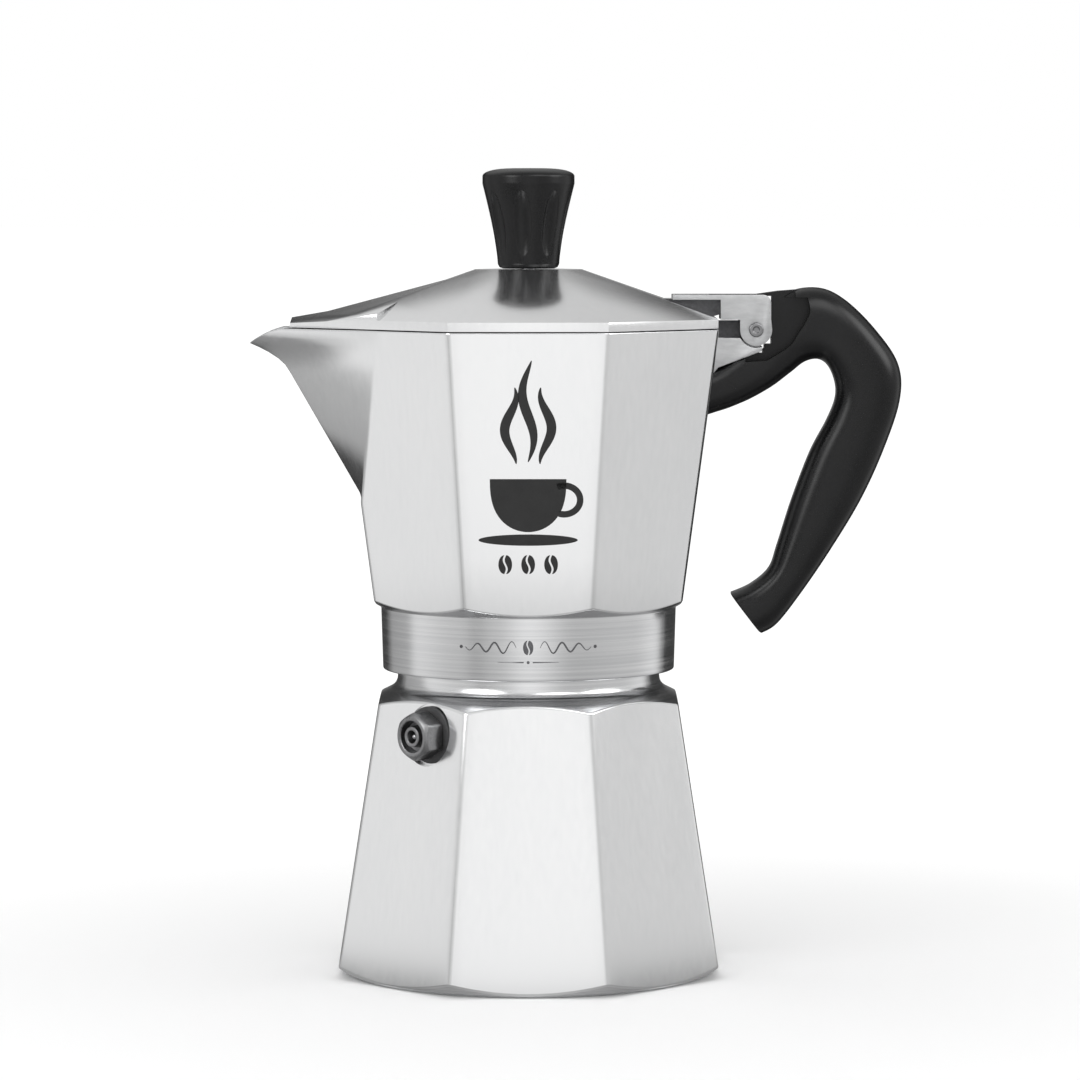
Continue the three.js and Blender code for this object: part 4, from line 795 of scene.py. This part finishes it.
# ------------------------------------------------------------------ handle
# Pairs of points on the handle's two lines, (inner x, inner z, outer x, outer z), from the
# pot's wall along the lower arm, over the bend, down the grip and to the end of the foot.
HANDLE_LINES = [
    (44, 149.4, 44, 162), (50, 151.2, 51, 164), (57, 153.6, 57.4, 168), (64.9, 157.8, 62.4, 172.6),
    (70.6, 162, 65.6, 179), (74.4, 164.9, 70.6, 184), (78, 165.6, 78.6, 184.9), (80.8, 163.7, 85.6, 181.5),
    (82.6, 159.3, 93.6, 173.6), (82.6, 154.9, 99.7, 164.4), (80.3, 149.1, 100.2, 154.6),
    (75.8, 140.5, 95.8, 141), (70.9, 127.5, 89.7, 127.6), (67.1, 115.4, 81.6, 114.1),
    (64.9, 109.2, 73.6, 102.3), (60, 104.9, 67.2, 94.1), (54.4, 102.4, 62.8, 91.4)]


def smooth_line(points, share):
    """A point on the smooth curve through the points, by its share of their number."""
    last = len(points) - 1
    index = min(int(share * last), last - 1)
    weight = share * last - index
    p0, p1, p2, p3 = (points[max(0, min(last, index + k))] for k in (-1, 0, 1, 2))
    v0, v1 = (p2 - p0) / 2, (p3 - p1) / 2
    return (2 * p1 - 2 * p2 + v0 + v1) * weight ** 3 + (-3 * p1 + 3 * p2 - 2 * v0 - v1) * weight ** 2 \
        + v0 * weight + p1


def handle_sweep():
    inner = [Vector((x, z)) for x, z, _, _ in HANDLE_LINES]
    outer = [Vector((x, z)) for _, _, x, z in HANDLE_LINES]
    columns, rows, inset = 72, 150, 0.995

    def rounding(value):
        return math.copysign(abs(value) ** HANDLE_SQUARENESS, value)

    def path(column):
        angle = TURN * column / columns
        across, side = rounding(math.cos(angle)), rounding(math.sin(angle))
        keys = []
        stops = [(0, 0), (0, 1)] + [(row / rows, 1) for row in range(1, rows)]
        stops += [(1 - 0.012 * (1 - math.sin(a)), 1 - 0.12 * (1 - math.cos(a)))
                  for a in (math.pi / 2 * i / 5 for i in range(1, 6))] + [(1, 0)]
        for share, size in stops:
            near, far = smooth_line(inner, share), smooth_line(outer, share)
            middle, half = (near + far) / 2, (far - near) / 2
            point = middle + half * across * size * inset
            keys.append((Vector((point.x, side * HANDLE_HALF * size, point.y)), 0, 0))
        return keys

    return woven(path, columns)


SWING_EDGE = [(2.9, -8.2), (6.1, -6.3), (9.3, -4), (11.4, -0.8), (13.3, 2.2), (14.4, 5.2), (13.8, 8.7)]


def swing_hollow(side):
    """The hollow that one of the lid's cheeks swings through, on one side of the handle's web."""
    edge = [Vector(point) for point in SWING_EDGE]
    curve = [smooth_line(edge, share) for share in shares(24)]
    outline = [(PIN_X - 3, PIN_Z - 8.6)] + [(PIN_X + x, PIN_Z + z) for x, z in curve]
    outline.append((PIN_X - 3, RIM_LOW))
    low, high = sorted((side * HANDLE_WEB_HALF, side * (HANDLE_HALF + 1)))
    return prism(outline, low, high)


def wall_tool():
    """The chamber's outside with a small gap, for seating the handle against it."""
    low, high = CHAMBER_FOOT, CHAMBER_TOP + 6
    bm = bmesh.new()
    gap = SEAT_GAP / FLAT
    bmesh.ops.create_cone(bm, cap_ends=True, segments=SIDES, radius1=chamber_corner(low) + gap,
                          radius2=chamber_corner(high) + gap, depth=high - low)
    bmesh.ops.rotate(bm, cent=(0, 0, 0), matrix=Matrix.Rotation(HALF_FACET, 3, "Z"), verts=bm.verts)
    bmesh.ops.translate(bm, vec=(0, 0, (low + high) / 2), verts=bm.verts)
    return bm


def handle():
    piece = made(handle_sweep(), "handle_grip", BLACK)
    wide, above, rim_half = HANDLE_HALF + 1, ARM_TOP + 9, 4.1
    rim_start, rim_end, rim_floor = PIN_X - 4, PIN_X + 10.6, RIM_LOW - 0.1
    heel, past = chamber_flat(LUG_LOW_IN), LUG_REACH + 0.9
    lug_room = [(heel - 4, LUG_LOW_IN - 3.3), (heel + 0.4, LUG_LOW_IN - 1.7), (heel + 1.6, LUG_LOW_IN - 0.3),
                (past - 0.7, LUG_LOW_OUT - 0.3), (past, LUG_LOW_OUT + 0.7), (past, PIN_Z + 4),
                (heel - 4, PIN_Z + 4)]
    screw_seat = heights("handle_screw")[0] + 2.7
    screw_x, head_hole, hole_depth = PIN_X - 4.9, 3.9, 20
    screw_room = rod(head_hole, hole_depth)
    bmesh.ops.translate(screw_room, vec=(screw_x, 0, screw_seat - hole_depth / 2), verts=screw_room.verts)
    combined(piece, "DIFFERENCE", swing_hollow(1), swing_hollow(-1),
             block(rim_start, rim_end, rim_half, wide, rim_floor, above),
             block(rim_start, rim_end, -wide, -rim_half, rim_floor, above),
             block(PIN_X - 20, PIN_X + 2, -wide, wide, PIN_Z - 6.4, above),
             block(PIN_X - 20, PIN_X + 4.25, -wide, wide, PIN_Z - 3.95, above),
             wall_tool(), prism(lug_room, -wide, wide), screw_room)
    tip, web_edge, root, low = PIN_X + 0.5, PIN_X + 4.4, PIN_X + 14, RIM_LOW - 4
    tongue = [(tip, RIM_LOW + 0.3), (tip, ARM_TOP + 0.1), (PIN_X + 6, ARM_TOP + 0.9), (root, ARM_TOP + 1.5),
              (root, low), (web_edge, low), (web_edge, RIM_LOW + 0.3)]
    combined(piece, "UNION", prism(tongue, -HANDLE_WEB_HALF, HANDLE_WEB_HALF))
    smoothed(piece.data, 32)
    return placed(piece, "upper_chamber", "black_plastic", "handle")


# ------------------------------------------------------------------ safety valve
def valve_body():
    """A hexagon with a turned face, a round mouth with a tube in it, and a round shank."""
    corner = VALVE_ACROSS / 2 / math.cos(math.pi / 6)
    hexagon = [spot(corner, TURN * i / 6, 0) for i in range(6)]

    def wall(column, height):
        return polygon_point(hexagon, [0.5] * 6, column) + Vector((0, 0, height))

    def face_cone(radius):
        return VALVE_HEX_TOP - 0.9 * (radius - 5.2)

    def path(column):
        at = on_bearing(wall(column, 0))
        low, top, floor_height, back = VALVE_HEX_LOW, VALVE_HEX_TOP, VALVE_MOUTH_FLOOR, VALVE_SHANK_END
        return [
            (at(VALVE_BORE, back), 0, 0), (at(VALVE_SHANK_RADIUS, back), 0.4, 0),
            (at(VALVE_SHANK_RADIUS, low), 0.1, 0), (at(5.4, low), 0.1, 0), (wall(column, low + 0.3), 0.15, 0),
            (crease(wall, column, face_cone, top), 0.15, 0), (at(5.3, top), 0.3, 0), (at(4.2, top), 0.35, 0),
            (at(4, floor_height), 0.3, 0), (at(2.9, floor_height), 0.2, 0), (at(2.7, top - 0.1), 0.25, 0),
            (at(1.7, top - 0.1), 0.25, 0), (at(1.5, VALVE_SPRING_FRONT), 0, 0),
            (at(VALVE_BORE, VALVE_SPRING_FRONT), 0, 0), (at(VALVE_BORE, back), 0, 0)]

    piece = made(at_valve(woven(path, 6 * (ARC + EDGE))), "valve_hexagon", VALVE_STEEL)
    return placed(piece, "boiler", "steel", "valve_body")


def valve_piston():
    """A disc behind a pin with a pointed end."""
    disc = VALVE_BORE - SLIDE_GAP
    bm = turned([(0, VALVE_DISC_BACK), (disc, VALVE_DISC_BACK, 0.2), (disc, VALVE_DISC_FRONT, 0.2),
                 (VALVE_PIN_RADIUS, VALVE_DISC_FRONT, 0.1), (VALVE_PIN_RADIUS, 5.2, 0.3), (0.6, 6.6, 0.2),
                 (0, 7)], 48)
    return placed(made(at_valve(bm), "valve_pin", STEEL), "valve_piston", "brass", "valve_piston")


def valve_washer():
    bore, edge, middle = VALVE_SHANK_RADIUS + SEAT_GAP, 7.6, 6
    bm = turned([(middle, VALVE_WASHER_LOW), (edge, VALVE_WASHER_LOW, 0.2), (edge, VALVE_WASHER_TOP, 0.2),
                 (bore, VALVE_WASHER_TOP, 0.2), (bore, VALVE_WASHER_LOW, 0.2),
                 (middle, VALVE_WASHER_LOW)], 96)
    return placed(made(at_valve(bm), "valve_seal", DARK_RUBBER), "boiler", "gasket_rubber", "valve_washer")


def valve_spring():
    """A coil of wire between the pin's disc and the front of the room for the spring."""
    coils, steps = 4, 48
    radius = VALVE_BORE - SLIDE_GAP - VALVE_WIRE
    back = VALVE_DISC_FRONT + SEAT_GAP + VALVE_WIRE
    front = VALVE_SPRING_FRONT - SEAT_GAP - VALVE_WIRE
    bm = bmesh.new()
    bmesh.ops.create_circle(bm, cap_ends=True, segments=16, radius=VALVE_WIRE)
    bmesh.ops.rotate(bm, cent=(0, 0, 0), matrix=Matrix.Rotation(math.pi / 2, 3, "X"), verts=bm.verts)
    bmesh.ops.translate(bm, vec=(radius, 0, back), verts=bm.verts)
    coil = coiled(bm, coils, coils * steps, front - back)
    piece = placed(made(at_valve(coil), "valve_coil", STEEL), "boiler", "steel", "valve_spring")
    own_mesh(piece)


# ------------------------------------------------------------------ funnel, gasket and strainer
def perforated(radius, low, thickness, rings, spacing, hole=0.75):
    """A disc with holes in rings: 1, 6, 12, 18 and so on."""
    bm = bmesh.new()
    bmesh.ops.create_circle(bm, segments=128, radius=radius)
    for ring in range(rings + 1):
        for i in range(max(1, 6 * ring)):
            centre = spot(ring * spacing, TURN * i / max(1, 6 * ring), 0)
            bmesh.ops.create_circle(bm, segments=12, radius=hole, matrix=Matrix.Translation(centre))
    bmesh.ops.triangle_fill(bm, use_beauty=True, use_dissolve=False, edges=bm.edges[:])
    bmesh.ops.solidify(bm, geom=bm.faces[:], thickness=thickness)
    bmesh.ops.translate(bm, vec=(0, 0, low - min(v.co.z for v in bm.verts)), verts=bm.verts)
    bmesh.ops.recalc_face_normals(bm, faces=bm.faces)
    return bm


def strainers():
    low, high = heights("filter_plate")
    plate = made(perforated(33.4, low, high - low, 7, 3.7), "strainer_plate", SHEET)
    placed(plate, "filter_plate", "sheet_aluminium", "filter_plate")
    low, high = heights("funnel_disc")
    disc = made(perforated(29, low, high - low, 6, 4.1, 0.8), "basket_disc", SHEET)
    placed(disc, "funnel", "sheet_aluminium", "funnel_disc")


def funnel():
    sheet = 0.8
    top = heights("funnel")[1]
    rim, basket, tube, foot = 33.2, 30.1, 5.2, 6
    floor_low = top - 20
    cone_low = floor_low - 11
    bm = turned([
        (basket - sheet, top - 4), (basket - sheet, top, 0.6), (rim, top, 0.3), (rim, top - 1, 0.3),
        (basket, top - 1, 0.4), (basket, floor_low, 1.2), (basket - 3, floor_low, 1),
        (tube, cone_low, 3), (tube, foot, 0.2), (tube - sheet, foot, 0.2), (tube - sheet, cone_low + 0.4, 3),
        (basket - 3.4, floor_low + sheet, 1), (basket - sheet, floor_low + sheet, 0.6),
        (basket - sheet, top - 4)])
    return placed(made(bm, "funnel_basket", SHEET), "funnel", "sheet_aluminium", "funnel")


def gasket():
    low, high = heights("gasket")
    bore, edge, middle = 27.6, 34.4, 31
    bm = turned([(middle, low), (edge, low, 0.5), (edge, high, 0.5), (bore, high, 0.5), (bore, low, 0.5),
                 (middle, low)])
    return placed(made(bm, "seal_ring", RUBBER), "gasket", "gasket_rubber", "gasket")


# ------------------------------------------------------------------ printed cup and engraved scroll
def ribbon(line, width):
    """The outline of a band that follows a line of points: width(share) is its half-width."""
    points = [Vector(point) for point in line]
    left, right = [], []
    for i, point in enumerate(points):
        along = (points[min(i + 1, len(points) - 1)] - points[max(i - 1, 0)]).normalized()
        across = Vector((-along.y, along.x)) * width(i / (len(points) - 1))
        left.append(point + across)
        right.append(point - across)
    return left + right[::-1]


def oval(x, z, across, high, steps=40):
    turns = [TURN * i / steps for i in range(steps)]
    return [(x + across * math.cos(turn), z + high * math.sin(turn)) for turn in turns]


def bean_halves(x, z, size):
    """A coffee bean as two halves with a wavy gap between them."""
    halves = []
    for side in (1, -1):
        arc = [(x + side * size * (0.62 * math.sin(math.pi * t) + 0.1), z + size * math.cos(math.pi * t))
               for t in shares(16)]
        gap = [(x + side * size * 0.1 + size * 0.16 * math.sin(TURN * t), z + size * (2 * t - 1) * 0.98)
               for t in shares(12)[1:-1]]
        halves.append(arc + gap)
    return halves


def cup_outlines():
    foot, rim = 121.5, 136
    bowl = [(10 * math.cos(math.pi * t), rim - 14 * abs(math.sin(math.pi * t)) ** 0.75)
            for t in shares(32)]
    grip = ribbon([(9.4 + 4.2 * math.cos(3.9 * t - 1.9), rim - 5.5 + 3.8 * math.sin(3.9 * t - 1.9))
                   for t in shares(24)], lambda share: 0.85)
    saucer = oval(0, foot - 1.6, 13, 1.5)
    steam = []
    for x, low, high in ((-4.6, 140, 160), (0, 140.5, 167), (4.6, 140, 160)):
        line = [(x + 1.5 * math.sin(2.2 * math.pi * t + x), low + (high - low) * t)
                for t in shares(40)]
        steam.append(ribbon(line, lambda share: 0.12 + 1.15 * math.sin(math.pi * share) ** 0.8))
    beans = [half for x in (-6, 0, 6) for half in bean_halves(x, 113.4, 2.5)]
    return [bowl, grip, saucer, *steam, *beans]


def drawn_on(outlines, name, look, body, slot_name, lay):
    """Thin raised shapes: lay(u, v, lift) puts a point of a flat drawing on or over the surface."""
    root, face = -0.01, 0.07
    whole = bmesh.new()
    for outline in outlines:
        shape = prism([tuple(point) for point in outline], root, face)
        for vert in shape.verts:
            vert.co = lay(vert.co.x, vert.co.z, vert.co.y)
        mesh = bpy.data.meshes.new("part")
        shape.to_mesh(mesh)
        shape.free()
        whole.from_mesh(mesh)
        bpy.data.meshes.remove(mesh)
    bmesh.ops.recalc_face_normals(whole, faces=whole.faces)
    return placed(made(whole, name, look), body, slot_name)


def on_front_flat(u, v, lift):
    return Vector((u, -chamber_flat(v) - lift, v))


def on_collar(u, v, lift):
    share = (v - COLLAR_BOTTOM) / (chamber_foot(COLLAR_TOP_RADIUS) - COLLAR_BOTTOM)
    radius = COLLAR_BOTTOM_RADIUS + (COLLAR_TOP_RADIUS - COLLAR_BOTTOM_RADIUS) * share + lift
    angle = u / COLLAR_TOP_RADIUS - math.pi / 2
    return spot(radius, angle, v)


def scroll_outlines():
    """A bean between two running scrolls, over a short rule with a dot at its middle."""
    middle = 91.2
    shapes = [*bean_halves(0, middle, 1.9)]
    for side in (1, -1):
        wave = [(side * (3.2 + 14 * t), middle + 1.7 * math.sin(3 * TURN * t) * (1 - 0.55 * t))
                for t in shares(120)]
        shapes.append(ribbon(wave, lambda share: 0.06 + 0.17 * math.sin(math.pi * share)))
        shapes.append(oval(side * 18.4, middle, 0.45, 0.45, 16))
        rule = [(side * (1.2 + 7 * t), middle - 3.9) for t in shares(8)]
        shapes.append(ribbon(rule, lambda share: 0.16 * (1 - 0.8 * share)))
    return [*shapes, oval(0, middle - 3.9, 0.4, 0.4, 16)]


# ------------------------------------------------------------------ pieces kept from the frame
def dressed(node, look):
    """Gives a CAD node its finish."""
    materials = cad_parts[node].data.materials
    materials.clear()
    materials.append(look)


def lid():
    """The lid's shell is polished, its fork is brushed and the hollow beside the fork's rib is painted near
    black as painted shade.
    """
    shell = edges_eased(copy_of("lid", "lid_shell", POLISHED), 0.35)
    placed(shell, "lid", "cast_aluminium", "lid")
    shell.data.materials.append(FORK_CAST)
    shell.data.materials.append(PAINTED_SHADE_CAST)
    cheek_start, rib_start, rib_half, fork_start = PIN_X - 9.8, 32, 5.6, 38
    # Faces beside the fork's rib get the painted shade material; the fork's faces get the brushed finish
    for face in shell.data.polygons:
        x, y, z = face.center / MM
        if abs(y) < rib_half + 0.3 and x > rib_start and z < ARM_TOP - 0.6 and abs(face.normal.y) > 0.6:
            face.material_index = 2
        elif (x > cheek_start or z > ARM_TOP - 1.6) and x > fork_start and abs(y) < ARM_HALF + 0.3:
            face.material_index = 1
    return shell


boiler()
threads()
upper_chamber()
coffee_post()
hinge_lug()
hinge_pin()
knob()
handle()
valve_body()
valve_piston()
valve_washer()
valve_spring()
strainers()
funnel()
gasket()
lid()
drawn_on(cup_outlines(), "printed_cup", INK, "upper_chamber", "black_plastic", on_front_flat)
drawn_on(scroll_outlines(), "engraved_scroll", ENGRAVED, "upper_chamber", "steel", on_collar)
for node, look in (("knob_insert", BRASS), ("knob_washer", STEEL), ("knob_screw", STEEL),
                   ("handle_screw", STEEL), ("valve_seat", BRASS)):
    dressed(node, look)


# ------------------------------------------------------------------ stage, light and camera
def floor():
    bm = bmesh.new()
    bmesh.ops.create_grid(bm, x_segments=1, y_segments=1, size=20000)
    material = bpy.data.materials.new("pale_floor")
    material.use_nodes = True
    tree = material.node_tree
    shader = tree.nodes["Principled BSDF"]
    preset(shader, Base_Color=(0.94, 0.94, 0.94, 1), Roughness=0.9, Specular_IOR_Level=0,
           Emission_Color=(1, 1, 1, 1))
    # Painted light: the floor glows, with no glow within 0.07 m of the pot rising to 0.16 at 0.45 m, so it
    # reads white away from the pot and darker round its foot
    place = tree.nodes.new("ShaderNodeTexCoord")
    length = tree.nodes.new("ShaderNodeVectorMath")
    length.operation = "LENGTH"
    tree.links.new(place.outputs["Object"], length.inputs[0])
    glow = mapped(tree, length.outputs["Value"], 0.07, 0.45, 0, 0.16)
    tree.links.new(glow, shader.inputs["Emission Strength"])
    made(bm, "floor", material)


# How bright the light tent is around the pot, from behind it by way of the left and the front
TENT_TONES = [(0.0, 0.42), (0.045, 0.05), (0.095, 0.05), (0.14, 0.4), (0.2, 0.45), (0.235, 0.84),
              (0.35, 0.66), (0.39, 0.5), (0.43, 0.66), (0.5, 1.0), (0.6, 0.6), (0.74, 0.66), (0.82, 0.85),
              (0.87, 0.05), (0.95, 0.05), (1.0, 0.42)]
# Lamps shining on the cloth: azimuth from the front, elevation and brightness
TENT_LAMPS = [(-42, 36, 4), (72, 40, 4), (28, 52, 3)]
TENT_RADIUS = 0.6


def light_tent():
    """A white tent round the pot that only reflections see, with its dark slits at both sides."""
    bm = bmesh.new()
    bmesh.ops.create_uvsphere(bm, u_segments=96, v_segments=48, radius=TENT_RADIUS)
    bmesh.ops.bisect_plane(bm, geom=bm.verts[:] + bm.edges[:] + bm.faces[:], plane_co=(0, 0, 0.0008),
                           plane_no=(0, 0, 1), clear_inner=True)
    bmesh.ops.holes_fill(bm, edges=[edge for edge in bm.edges if edge.is_boundary], sides=0)
    mesh = bpy.data.meshes.new("light_tent")
    bm.to_mesh(mesh)
    bm.free()
    material = bpy.data.materials.new("tent_cloth")
    material.use_nodes = True
    tree = material.node_tree
    tree.nodes.clear()
    place = tree.nodes.new("ShaderNodeTexCoord")
    axes = tree.nodes.new("ShaderNodeSeparateXYZ")
    tree.links.new(place.outputs["Object"], axes.inputs[0])
    forward = maths(tree, "MULTIPLY", axes.outputs["Y"], -1.0)
    turn = maths(tree, "ARCTAN2", axes.outputs["X"], forward)
    around = maths(tree, "MULTIPLY_ADD", turn, 1 / TURN, 0.5)
    ramp = tree.nodes.new("ShaderNodeValToRGB")
    ramp.color_ramp.interpolation = "EASE"
    tones = ramp.color_ramp.elements
    for position, _ in TENT_TONES[1:-1]:
        tones.new(position)
    for element, (position, tone) in zip(tones, TENT_TONES):
        element.position = position
        element.color = (tone, tone, tone, 1)
    tree.links.new(around, ramp.inputs["Fac"])
    level = tree.nodes.new("ShaderNodeVectorMath")
    level.operation = "MULTIPLY"
    level.inputs[1].default_value = (1, 1, 0)
    tree.links.new(place.outputs["Object"], level.inputs[0])
    span = tree.nodes.new("ShaderNodeVectorMath")
    span.operation = "LENGTH"
    tree.links.new(level.outputs["Vector"], span.inputs[0])
    far = mapped(tree, span.outputs["Value"], 0.08, 0.42, 0.5, 1)
    rise = mapped(tree, axes.outputs["Z"], 0.0, 0.05, 0, 1)
    share = between(tree, rise, far, 1.0)
    around_tone = maths(tree, "MULTIPLY", ramp.outputs["Color"], share)
    high = mapped(tree, axes.outputs["Z"], 0.34, 0.5, 0, 1)
    roof = maths(tree, "MULTIPLY_ADD", axes.outputs["X"], -0.4, 0.66)
    tone = between(tree, high, around_tone, roof)
    for azimuth, elevation, strength in TENT_LAMPS:
        bearing, lift = math.radians(azimuth), math.radians(elevation)
        towards = tree.nodes.new("ShaderNodeVectorMath")
        towards.operation = "DOT_PRODUCT"
        lamp_way = spot(math.cos(lift), bearing - math.pi / 2, math.sin(lift))
        towards.inputs[1].default_value = lamp_way / TENT_RADIUS
        tree.links.new(place.outputs["Object"], towards.inputs[0])
        lamp = mapped(tree, towards.outputs["Value"], 0.955, 0.985, 0, strength)
        tone = maths(tree, "ADD", tone, lamp)
    glow = tree.nodes.new("ShaderNodeEmission")
    tree.links.new(tone, glow.inputs["Strength"])
    end = tree.nodes.new("ShaderNodeOutputMaterial")
    tree.links.new(glow.outputs[0], end.inputs["Surface"])
    mesh.materials.append(material)
    tent = bpy.data.objects.new("light_tent", mesh)
    tent.visible_camera = False
    tent.visible_diffuse = False
    tent.visible_shadow = False
    tent.visible_transmission = False
    scene.collection.objects.link(tent)


def aimed(thing, place, aim):
    thing.location = place
    thing.rotation_euler = (Vector(aim) - Vector(place)).to_track_quat("-Z", "Y").to_euler()
    scene.collection.objects.link(thing)


def softbox(name, place, aim, width, height, brightness):
    light = bpy.data.lights.new(name, "AREA")
    light.shape = "RECTANGLE"
    light.size, light.size_y = width, height
    light.energy = brightness * math.pi * width * height
    lamp = bpy.data.objects.new(name, light)
    lamp.visible_glossy = False
    aimed(lamp, place, aim)


def lighting():
    world = bpy.data.worlds.new("white_room")
    world.use_nodes = True
    world.node_tree.nodes["Background"].inputs["Color"].default_value = (1, 1, 1, 1)
    scene.world = world
    pot = (0, 0, 0.1)
    softbox("key_softbox", (-0.9, -1.3, 1.5), pot, 1.0, 1.0, 1.2)


def camera():
    """A long lens in front of the pot, looking slightly down."""
    downward = math.radians(4.3)
    lens = bpy.data.cameras.new("camera")
    lens.lens = 159.6
    lens.sensor_width = 36
    view = bpy.data.objects.new("camera", lens)
    view.location = (0.0031, -1.292, 0.2138)
    view.rotation_euler = (math.pi / 2 - downward, 0, 0)
    scene.collection.objects.link(view)
    scene.camera = view


floor()
light_tent()
lighting()
camera()
scene.view_settings.view_transform = "Standard"
